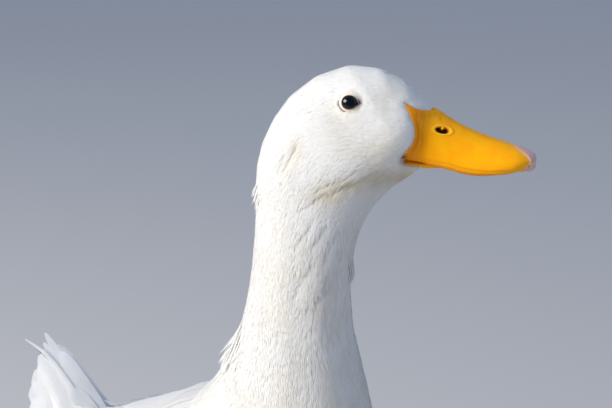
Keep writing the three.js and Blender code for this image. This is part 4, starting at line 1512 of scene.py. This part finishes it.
# %% Wing feathers
AXIS_AHEAD = [-300, -240, -220, -200, -160, -120, -80, -40, 0]
AXIS_HEIGHT = [186, 170, 161, 157, 154, 159, 171, 200, 207]
LINE_STEPS = 8
ROOT_SUNK = np.array([4.5, 2.2, 0.7] + [0.0] * (LINE_STEPS - 2)) * MM  # roots start inside the coat
TIP_LOOSE = (1.6, 0.012)  # how much tips differ, in millimetres and radians
PILE, TIP_RISE, WING_ROLL, WING_CUP = 0.8, 0.9, 0.10, 0.05  # each feather lies on the one below
WING_ROWS = [  # count, (ahead, angle) of the lowest root and tip, of the highest ones, width, base in mm
    (7, (-150, 1.02), (-226, 1.02), (-160, 0.72), (-264, 0.62), 15, -1.5),
    (10, (-84, 1.50), (-152, 1.66), (-118, 0.95), (-216, 0.98), 18, -0.6),
    (5, (-106, 0.92), (-214, 0.86), (-112, 0.52), (-238, 0.44), 24, 0.8),
    (11, (-66, 1.38), (-112, 1.58), (-96, 0.72), (-156, 0.80), 17, 1.1),
    (12, (-56, 1.22), (-86, 1.50), (-78, 0.60), (-120, 0.66), 15, 1.8),
    (12, (-50, 1.10), (-72, 1.38), (-62, 0.52), (-94, 0.58), 13, 2.3),
    (9, (-66, 0.72), (-124, 0.80), (-84, 0.22), (-170, 0.28), 20, 1.6),
    (9, (-50, 0.80), (-90, 0.86), (-62, 0.24), (-122, 0.28), 18, 1.8),
]
folded_tree = tree_of("wing_left", "wing_right", "trunk")


def on_side(ahead, angle, side):
    axis = on_trunk(ahead, float(np.interp(ahead, AXIS_AHEAD, AXIS_HEIGHT)))
    way = Vector((side * math.sin(angle), 0, math.cos(angle)))
    hit = folded_tree.ray_cast(axis + 0.25 * way, -way)[0]
    return hit if hit is not None else axis + 0.02 * way


def smooth_lines(lines):
    return softened(lines.swapaxes(0, 1), 2).swapaxes(0, 1)


def wing_row(side, count, low_root, low_tip, high_root, high_tip, width, base):
    lines = []
    for share in np.linspace(0, 1, count).tolist():
        root = np.array(low_root) * (1 - share) + np.array(high_root) * share
        tip = np.array(low_tip) * (1 - share) + np.array(high_tip) * share
        tip = tip + random.normal(0, 1, 2) * TIP_LOOSE
        run = [root * (1 - t) + tip * t for t in np.linspace(0, 1, LINE_STEPS + 1).tolist()]
        lines.append([tuple(on_side(float(ahead), float(angle), side)) for ahead, angle in run])
    lines = smooth_lines(np.array(lines))
    near = [skin_tree.find_nearest(Vector(place))[2] for place in lines.reshape(-1, 3).tolist()]
    tops = unit(smooth_lines(corner_normals[near].reshape(lines.shape)))
    lines -= tops * ROOT_SUNK[None, :, None]
    lift = base * MM + np.linspace(0, PILE, count) * MM
    widths = width * varied(count, 0.05) * MM
    rise = np.full(count, TIP_RISE * MM)
    grown = hang(FLIGHT_VANE, lines, tops, widths, lift, rise, WING_CUP, -side * WING_ROLL)
    return grown, FLIGHT_VANE, unwrapped(lines[:, 0], (0.3, 0.64)), random.random(count)


coats.append(join_feathers("coat_wings", [wing_row(side, *row) for row in WING_ROWS for side in (-1, 1)]))

# %% [markdown]
# ## Tail
# The tail is a nearly shut fan of stiff pointed feathers, raised behind the wing tips and arched from side
# to side. It has axes of its own: back along the fan, across it, and out of its upper side. The large
# quills come first, each told by where its tip is.

# %% Tail quills
TAIL_ROOT, TAIL_RISE = on_trunk(-240, 168), math.radians(27)
TAIL_BACK = -TRUNK_AHEAD * math.cos(TAIL_RISE) + UP * math.sin(TAIL_RISE)
TAIL_TOP = UP * math.cos(TAIL_RISE) + TRUNK_AHEAD * math.sin(TAIL_RISE)
TAIL_SIDE = TAIL_TOP.cross(TAIL_BACK)
QUILL_ROOT, QUILL_SAG, QUILL_RISE = 6, 0.006, 3  # millimetres
POINTED_VANE = vane(9, 6, leaf(0.5, 0.5, 0.45), ragged=0.05, fork=0.14)
QUILLS = [  # vane, how far the tip bends aside, and of each tip: to the right, back, width, height
    (POINTED_VANE, 0, [
        (-17, 74, 13, -2.2), (-17, 86, 13, -1.5), (-16, 96, 12, -0.8), (-13.3, 101, 12, -0.1),
        (-10.3, 102.5, 12, 0.6), (5, 99, 14, 0.4), (0, 106, 13, 1.2), (-5.2, 115, 13, 1.9),
    ]),
    (FLIGHT_VANE, 0, [(26, 61, 23, -2.4), (20, 75, 25, -1.8), (14, 85, 25, -1.2), (8, 91, 24, -0.5)]),
    (POINTED_VANE, 12, [(2, 112, 6, 4.0)]),
    (FLIGHT_VANE, 0, [(9, 94, 17, 2.6), (-8, 92, 17, 2.8)]),
]


def at_tail(aside, back, above):
    return tuple(TAIL_ROOT + (aside * TAIL_SIDE + back * TAIL_BACK + above * TAIL_TOP) * MM)


def fan_of(lines, tops, widths, template, cup):
    """Feathers on lines of their own, each with one upward direction for its whole length."""
    lines, tops = np.array(lines), np.repeat([[tuple(top)] for top in tops], LINE_STEPS + 1, axis=1)
    nothing = np.zeros(len(lines))
    grown = hang(template, lines, tops, widths * MM, nothing, nothing, cup)
    return grown, template, unwrapped(lines[:, 0], (0.5, 0.64)), random.random(len(lines))


def tail_quills(template, bend, tips):
    lines, tops = [], []
    for x, back, width, height in tips:
        run = []
        for t in np.linspace(0, 1, LINE_STEPS + 1).tolist():
            here = x * (1.25 - 0.25 * t) + bend * t**7
            above = height - QUILL_SAG * here * here + QUILL_RISE * t * t
            run.append(at_tail(here, -QUILL_ROOT + (back + QUILL_ROOT) * t, above))
        lines.append(run)
        tops.append((TAIL_TOP + 2 * QUILL_SAG * x * TAIL_SIDE).normalized())
    return fan_of(lines, tops, np.array([tip[2] for tip in tips]), template, 0.14)


fans = [tail_quills(*group) for group in QUILLS]
print("tail quills", sum(len(tips) for _, _, tips in QUILLS))

# %% [markdown]
# Coverts as long as half the tail lie over and under its roots, in rows like tiles. A row is told by its
# share of the fan's width, by where its feathers start and end, and by how they curl.

# %% Tail coverts
TAIL_LENGTH, TAIL_ROOT_HALF, TAIL_TIP_HALF, TAIL_ARCH = 108, 33, 22, 0.012
TAIL_ROWS = [  # count, share of the fan, start and end behind the roots, width, height, curl, side
    (9, 0.85, -16, 70, 19, 3.2, 0, 1), (9, 0.9, -26, 54, 19, 5.2, -1, 1),
    (9, 0.9, -36, 36, 20, 7.2, -2, 1), (9, 0.8, -46, 16, 20, 9.0, -3, 1),
    (10, 0.9, -16, 58, 17, -4.5, 2, -1), (10, 0.85, -30, 30, 20, -9.0, 3, -1),
    (8, 0.75, -36, 22, 21, -15.0, 5, -1), (7, 0.6, -42, 10, 21, -21.0, 8, -1),
]


def tail_row(count, spread, starts, reach, width, above, curl, side):
    lines, tops = [], []
    for across in np.linspace(-spread, spread, count).tolist():
        across += random.normal(0, 0.02)
        end = reach * (1 - 0.3 * abs(across) ** 1.4) + random.normal(0, 2.0)
        height = above - side * 1.6 * abs(across)
        run = []
        for t in np.linspace(0, 1, LINE_STEPS + 1).tolist():
            back = starts + (end - starts) * t
            half = TAIL_ROOT_HALF + (TAIL_TIP_HALF - TAIL_ROOT_HALF) * back / TAIL_LENGTH
            x = across * (0.72 + 0.28 * t) * half
            run.append(at_tail(x, back, height + curl * t * t - TAIL_ARCH * x * x))
        lines.append(run)
        tilt = -2 * TAIL_ARCH * across * TAIL_ROOT_HALF
        tops.append((TAIL_TOP - tilt * TAIL_SIDE).normalized() * side)
    return fan_of(lines, tops, width * varied(count, 0.06), FLIGHT_VANE, 0.12)


fans += [tail_row(*row) for row in TAIL_ROWS]
coat_tail = join_feathers("coat_tail", fans)
coats.append(coat_tail)

# %% [markdown]
# ## Legs and feet
# The shank and the foot are one smooth piece, melted together by the same remesh as the skin, only finer,
# because the webs are thin. Then the mesh itself is grooved: broad plates down the front of the shank,
# and a ring every few millimetres on each toe. A toe's line runs from the ankle to its claw.

# %% Grooves along a line
PLATE, RING_STEP = 3.4, 2.5  # millimetres between grooves on the shank and on a toe
PLATE_DEPTH, RING_DEPTH, KNUCKLE_RISE = 0.34, 0.30, 0.45


def grooves(along, step_mm, sharp=0.13):
    """1 in the middle of each groove and 0 between them."""
    return bell(np.abs(along / step_mm - np.round(along / step_mm)), 0, sharp)


def along_line(places, start, end):
    """Millimetres along a line and away from it, for each place, and the line's length."""
    start, end = np.array(start), np.array(end)
    length = np.linalg.norm(end - start)
    way = (end - start) / length
    along = (places - start) @ way
    away = np.linalg.norm(places - start - along[:, None] * way, axis=1)
    return along / MM, away / MM, length / MM


def toe_rings(places, side_name, ankle):
    """How deep each place on a foot is sunk by the nearest toe's rings, and how far that toe is."""
    ring, nearest = np.zeros(len(places)), np.full(len(places), 99.0)
    for toe in ["inner", "middle", "outer", "hind"]:
        claw = middle(f"claw_{side_name}_{toe}")
        start, end = Vector((ankle.x, ankle.y, 7 * MM)), Vector((claw.x, claw.y, 4 * MM))
        along, away, length = along_line(places, start, end)
        here = (away < nearest) & (along > -3)
        nearest = np.where(here, away, nearest)
        knuckles = bell(along / length, 0.45, 0.06) + bell(along / length, 0.75, 0.05)
        rings = RING_DEPTH * grooves(along, RING_STEP) * (1 - step(3.5, 5.0, away))
        ring = np.where(here, rings - KNUCKLE_RISE * knuckles * (away < 5), ring)
    return ring, nearest


# %% [markdown]
# Each leg is melted, smoothed and grooved. Its soles are then made truly flat, as it stands on them. Where
# a web, a groove or the lowest part is, gets painted on for the finish.

# %% Scaly legs
LEG_VOXEL, LEG_SWELL = 0.62 * MM, 0.3 * MM
SOLE = 0.55 * MM  # lower than this all is flat
ANKLE_IN, ANKLE_UP, HOCK_IN, HOCK_DOWN = 6.5 * MM, 3 * MM, 8 * MM, 3 * MM  # from the leg's box
legs = {}
for side_name in ("left", "right"):
    whole = bmesh.new()
    for name in ("leg_" + side_name, "foot_" + side_name):
        part = merged_copy(name)
        swell(part, LEG_SWELL)
        add_to(whole, part)
    made = remeshed(whole, "leg_and_foot_" + side_name, LEG_VOXEL)
    smoothed(made, 4)
    places, normals = positions(made.data), outward(made.data)
    low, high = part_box("leg_" + side_name)
    ankle = Vector(((low.x + high.x) / 2, low.y + ANKLE_IN, low.z + ANKLE_UP))  # ahead of the leg's top
    hock = Vector((ankle.x, high.y - HOCK_IN, high.z - HOCK_DOWN))
    up_shank, from_shank, _ = along_line(places, ankle, hock)
    on_shank = step(6, 12, places[:, 2] / MM) * (from_shank < 12)
    front = step(-0.1, 0.6, -normals[:, 1])
    wavy = up_shank + 0.5 * np.sin(places[:, 0] / MM)
    sunk = PLATE_DEPTH * grooves(wavy, PLATE) * on_shank * (0.25 + 0.75 * front)
    ring, nearest = toe_rings(places, side_name, ankle)
    sunk += ring * (step(-0.2, 0.4, normals[:, 2]) * (1 - on_shank))
    places -= normals * (sunk * MM)[:, None]
    places[:, 2] = np.where(places[:, 2] < SOLE, 0, places[:, 2])
    set_positions(made.data, places)
    paint(made, "web", step(4.2, 6.5, nearest) * (1 - on_shank))
    paint(made, "groove", np.clip(sunk / 0.3, 0, 1))
    paint(made, "height", places[:, 2] / MM)
    legs[side_name] = made
print("leg faces", {name: len(made.data.polygons) for name, made in legs.items()})

# %% [markdown]
# The claws are short and blunt from walking. They are melted in the same way, one by one, and joined into
# one piece. How far each vertex is towards its claw's tip is painted on.

# %% Claws
claw_names = sorted(name for name in nodes if name.startswith("claw"))
claw_mesh, claw_tips = bmesh.new(), []
for name in claw_names:
    claw = merged_copy(name)
    swell(claw, 0.15 * MM)
    low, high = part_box(name)
    smooth = remeshed(claw, name + "_smooth", 0.3 * MM)
    smoothed(smooth, 3)
    share = (positions(smooth.data)[:, 1] - low.y) / (high.y - low.y)
    claw_tips.append(share if name.endswith("hind") else 1 - share)  # the hind claw points back
    claw_mesh.from_mesh(smooth.data)
    bpy.data.objects.remove(smooth)
claws = object_from(claw_mesh, "claws")
paint(claws, "tip", step(0.2, 1.0, np.concatenate(claw_tips)))
print("claw faces", len(claws.data.polygons))

# %% [markdown]
# ## Finishes
# Most of the finishes below are built from the same few steps, so each step gets a function. One lays two
# colours in soft patches, one tints a colour where a mark is painted on the mesh, and one pits a surface.

# %% Patches, tints and pits
def patched(tree, colour, tint, size_mm, detail, start=0.35, strength=1.0):
    """Lays a tint over a colour in soft patches of the given size, measured on the piece itself."""
    place = add(tree, "ShaderNodeTexCoord").outputs["Object"]
    clouds = add(tree, "ShaderNodeTexNoise", {"Vector": place, "Scale": 1000 / size_mm, "Detail": detail})
    share = {"Value": clouds, "From Min": start, "From Max": 0.7, "To Max": strength}
    share = add(tree, "ShaderNodeMapRange", share)
    return add(tree, "ShaderNodeMix", {0: share, 6: colour, 7: linear(tint)}, data_type="RGBA").outputs[2]


def tinted(tree, colour, mark, tint, strength=1.0, none=0.0, full=1.0):
    """Lays a tint over a colour where a mark is painted: not at its first value, fully at its second."""
    amount = add(tree, "ShaderNodeAttribute", attribute_name=mark).outputs["Fac"]
    share = {"Value": amount, "From Min": none, "From Max": full, "To Max": strength}
    share = add(tree, "ShaderNodeMapRange", share)
    return add(tree, "ShaderNodeMix", {0: share, 6: colour, 7: linear(tint)}, data_type="RGBA").outputs[2]


def pitted(tree, size_mm, detail, depth_mm):
    """The shading of a surface with fine pits, for a shader's normal."""
    place = add(tree, "ShaderNodeTexCoord").outputs["Object"]
    pits = add(tree, "ShaderNodeTexNoise", {"Vector": place, "Scale": 1000 / size_mm, "Detail": detail})
    return add(tree, "ShaderNodeBump", {"Height": pits, "Distance": depth_mm * MM, "Strength": 0.5})


print("steps of a finish", [step_of.__name__ for step_of in (patched, tinted, pitted)])

# %% [markdown]
# The bill is a thin waxy skin over bone, coloured right through by carotene: light goes a little way in
# and comes back warmer. It is deepest orange at the root and the rim. Painted shade darkens its creases
# to brown, the corner of the gape and the gap between the bills to dark brown, and the nostril's hole to
# a very dark red.

# %% The bill's finish
# the tints for the creases, the gape and the nostril are painted shade
BILL_TINTS = [  # mark, colour, how strong
    ("root", "#F49600", 1.0), ("rim", "#F08A00", 0.75), ("pale", "#FFC83C", 0.6), ("crease_shade", "#A8560C", 0.8),
    ("gape_shade", "#5A1E06", 1.0), ("near_nail", "#E6AE7C", 0.6), ("nostril", "#380A03", 1.0),
]
bill_skin, tree = new_material("waxy bill")
colour = patched(tree, linear("#FFB000"), "#FCA300", 9.0, 4.0)
for mark, tint, strength in BILL_TINTS:
    colour = tinted(tree, colour, mark, tint, strength)
shader = add(tree, "ShaderNodeBsdfPrincipled", {
    "Base Color": colour,
    "Roughness": 0.48,  # waxy: a soft broad shine along the ridge
    "Specular IOR Level": 0.13,
    "Normal": pitted(tree, 1.1, 3.0, 0.06),
    "Subsurface Weight": 0.2,  # light goes into the thin skin and comes back warmer
    "Subsurface Radius": (0.9, 0.35, 0.05),
    "Subsurface Scale": 1.4 * MM,
})
add(tree, "ShaderNodeOutputMaterial", {"Surface": shader})
print(bill_skin.name, "nodes", len(tree.nodes))

# %% [markdown]
# The nail is horn with little colour of its own: pinkish, for the live bed under it shows through, and
# yellow at its edge, where it grows out of the bill. It is worn smooth, so it shines more than the rest.

# %% The nail's finish
nail_horn, tree = new_material("horn of the bill's nail")
colour = tinted(tree, linear("#F5AE3C"), "inwards", "#CD9F97", full=4.5)
shader = add(tree, "ShaderNodeBsdfPrincipled", {
    "Base Color": patched(tree, colour, "#E0C1B4", 2.5, 2.0, start=0.4, strength=0.3),
    "Roughness": 0.24,
    "Coat Weight": 0.3,  # the polish of a surface that is always wet and rubbed
    "Coat Roughness": 0.1,
    "Subsurface Weight": 0.3,
    "Subsurface Radius": (1.0, 0.5, 0.4),
    "Subsurface Scale": 1.0 * MM,
})
add(tree, "ShaderNodeOutputMaterial", {"Surface": shader})
print(nail_horn.name, "nodes", len(tree.nodes))

# %% [markdown]
# The eye is wet and clear in front, so it mirrors the lights sharply. Behind that the iris is nearly
# black, with a hint of blue, and the round pupil is blacker still.

# %% The eyes' finish
IRIS, PUPIL = 4.6, 2.6  # radii in millimetres
eye_surface, tree = new_material("wet eye")
colour = tinted(tree, linear("#010102"), "from_axis", "#10161F", none=PUPIL - 0.25, full=PUPIL + 0.35)
shader = add(tree, "ShaderNodeBsdfPrincipled", {
    "Base Color": tinted(tree, colour, "from_axis", "#07080C", none=IRIS - 0.6, full=IRIS + 0.3),
    "Roughness": 0.11,  # the tear film: small sharp glints of the lights
    "IOR": 1.376,
    "Specular IOR Level": 0.32,
})
add(tree, "ShaderNodeOutputMaterial", {"Surface": shader})
print(eye_surface.name, "nodes", len(tree.nodes))

# %% [markdown]
# The skin shows only at the lids: a pale cream ring, thin and a little moist, brown at its inner edge and
# red in the front corner, with painted shade in the crease behind and below the eye. Everywhere else it
# has the plumage's own colours, its cast and painted shade too, and lies under it.

# %% The lids' marks and finish
places = positions(skin.data)
share, angle = lid_share(places)
below = 0.5 - 0.5 * np.sin(angle)
paint(skin, "lid", 1 - step(1.32, 1.62, share))
paint(skin, "brown", bell(share, 1.0, 0.055 + 0.06 * below))
paint(skin, "red", bell(angle, 0, 0.30) * bell(share, 1.10, 0.13))
# painted shade: a dark line in the crease behind and below the eye
paint(skin, "crease_shade", np.minimum(1.8 * behind_eye(angle) * bell(share, 1.46, 0.11), 1))
paint(skin, "cream_and_shade", cream_and_shade_at(places))
SKIN_TINTS = [
    ("cream_and_shade", "#E6DCC2"), ("lid", "#E2D2C0"), ("crease_shade", "#3A2E26"), ("brown", "#4A2413"),
    ("red", "#5A1710"),
]
skin_surface, tree = new_material("bare skin")
colour = linear("#FAF9F6")
for mark, tint in SKIN_TINTS:
    colour = tinted(tree, colour, mark, tint)
shader = add(tree, "ShaderNodeBsdfPrincipled", {
    "Base Color": colour,
    "Roughness": 0.55,
    "Normal": pitted(tree, 0.6, 2.0, 0.08),  # fine wrinkles, so that the lids don't look like rubber
    "Subsurface Weight": 0.2,
    "Subsurface Radius": (1.0, 0.5, 0.35),
    "Subsurface Scale": 1.0 * MM,
})
add(tree, "ShaderNodeOutputMaterial", {"Surface": shader})
print(skin_surface.name, "nodes", len(tree.nodes))

# %% [markdown]
# The legs are leathery: small pebbly scales between the plates, dull rather than shiny, a redder orange
# than the bill. They are darker brown in the grooves and at the bottom. The webs are thinner and yellower,
# as light comes through.

# %% The legs' finish
SCALE_SIZE, SCALE_EDGE = 1.15, 0.16  # millimetres, and the edge as a share of a scale
leg_skin, tree = new_material("scaly leg")
colour = patched(tree, linear("#F59A22"), "#EE8E1C", 7.0, 3.0)
colour = tinted(tree, colour, "web", "#F7A42E")
place = add(tree, "ShaderNodeTexCoord").outputs["Object"]
scales = {"Vector": place, "Scale": 1000 / SCALE_SIZE}
scales = add(tree, "ShaderNodeTexVoronoi", scales, feature="DISTANCE_TO_EDGE")
scale_top = add(tree, "ShaderNodeMapRange", {"Value": scales, "From Max": SCALE_EDGE})
between = add(tree, "ShaderNodeMapRange", {"Value": scale_top, "To Min": 0.35, "To Max": 0.0})
colour = {0: between, 6: colour, 7: linear("#C96A14")}
colour = add(tree, "ShaderNodeMix", colour, data_type="RGBA").outputs[2]
colour = tinted(tree, colour, "groove", "#A24E12", 0.7)
colour = tinted(tree, colour, "height", "#8E5A2C", 0.6, none=2.5, full=0.0)
pebbles = add(tree, "ShaderNodeBump", {"Height": scale_top, "Distance": 0.14 * MM, "Strength": 0.8})
shader = add(tree, "ShaderNodeBsdfPrincipled", {
    "Base Color": colour,
    "Roughness": 0.52,  # leather: dull, with a weak shine on the plates
    "Normal": pebbles,
    "Subsurface Weight": 0.12,
    "Subsurface Radius": (0.9, 0.35, 0.1),
    "Subsurface Scale": 1.0 * MM,
})
add(tree, "ShaderNodeOutputMaterial", {"Surface": shader})
print(leg_skin.name, "nodes", len(tree.nodes))

# %% [markdown]
# A claw is layered horn: pale, darker towards the tip, with a dull polish from walking.

# %% The claws' finish
claw_horn, tree = new_material("horn of the claws")
shader = add(tree, "ShaderNodeBsdfPrincipled", {
    "Base Color": tinted(tree, linear("#E2CDA6"), "tip", "#7A6450"),
    "Roughness": 0.36,
    "Subsurface Weight": 0.2,
    "Subsurface Radius": (1.0, 0.6, 0.4),
    "Subsurface Scale": 0.8 * MM,
})
add(tree, "ShaderNodeOutputMaterial", {"Surface": shader})
print(claw_horn.name, "nodes", len(tree.nodes))

# %% [markdown]
# ## Finishing
# Each piece now gets its finish, smooth shading and the body it rides on, and the solids it stands in
# for are hidden. A coat's feathers have their own soft shading already.

# %% Give out the finishes
pieces = [  # piece, its finish, the record's surface, the solids it replaces
    (skin, skin_surface, "plumage", FLESH),
    (upper_bill, bill_skin, "bill", ["bill_upper"]),
    (lower_bill, bill_skin, "bill", ["bill_lower"]),
    (bill_nail, nail_horn, "nail", ["bill_nail"]),
    (eyeballs["left"], eye_surface, "eye", ["eye_left"]),
    (eyeballs["right"], eye_surface, "eye", ["eye_right"]),
    (legs["left"], leg_skin, "shank", ["leg_left", "foot_left"]),
    (legs["right"], leg_skin, "shank", ["leg_right", "foot_right"]),
    (claws, claw_horn, "claw", claw_names),
]
pieces += [(coat, plumage, "plumage", ["tail"] if coat is coat_tail else []) for coat in coats]
for piece, finish, surface, replaced in pieces:
    piece.data.materials.clear()
    piece.data.materials.append(finish)
    if piece not in coats:
        piece.data.shade_smooth()
    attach(piece, "root")
    if replaced:
        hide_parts(*replaced)
feather_faces = sum(len(coat.data.polygons) for coat in coats)
print("pieces", len(pieces), "feather triangles", feather_faces)
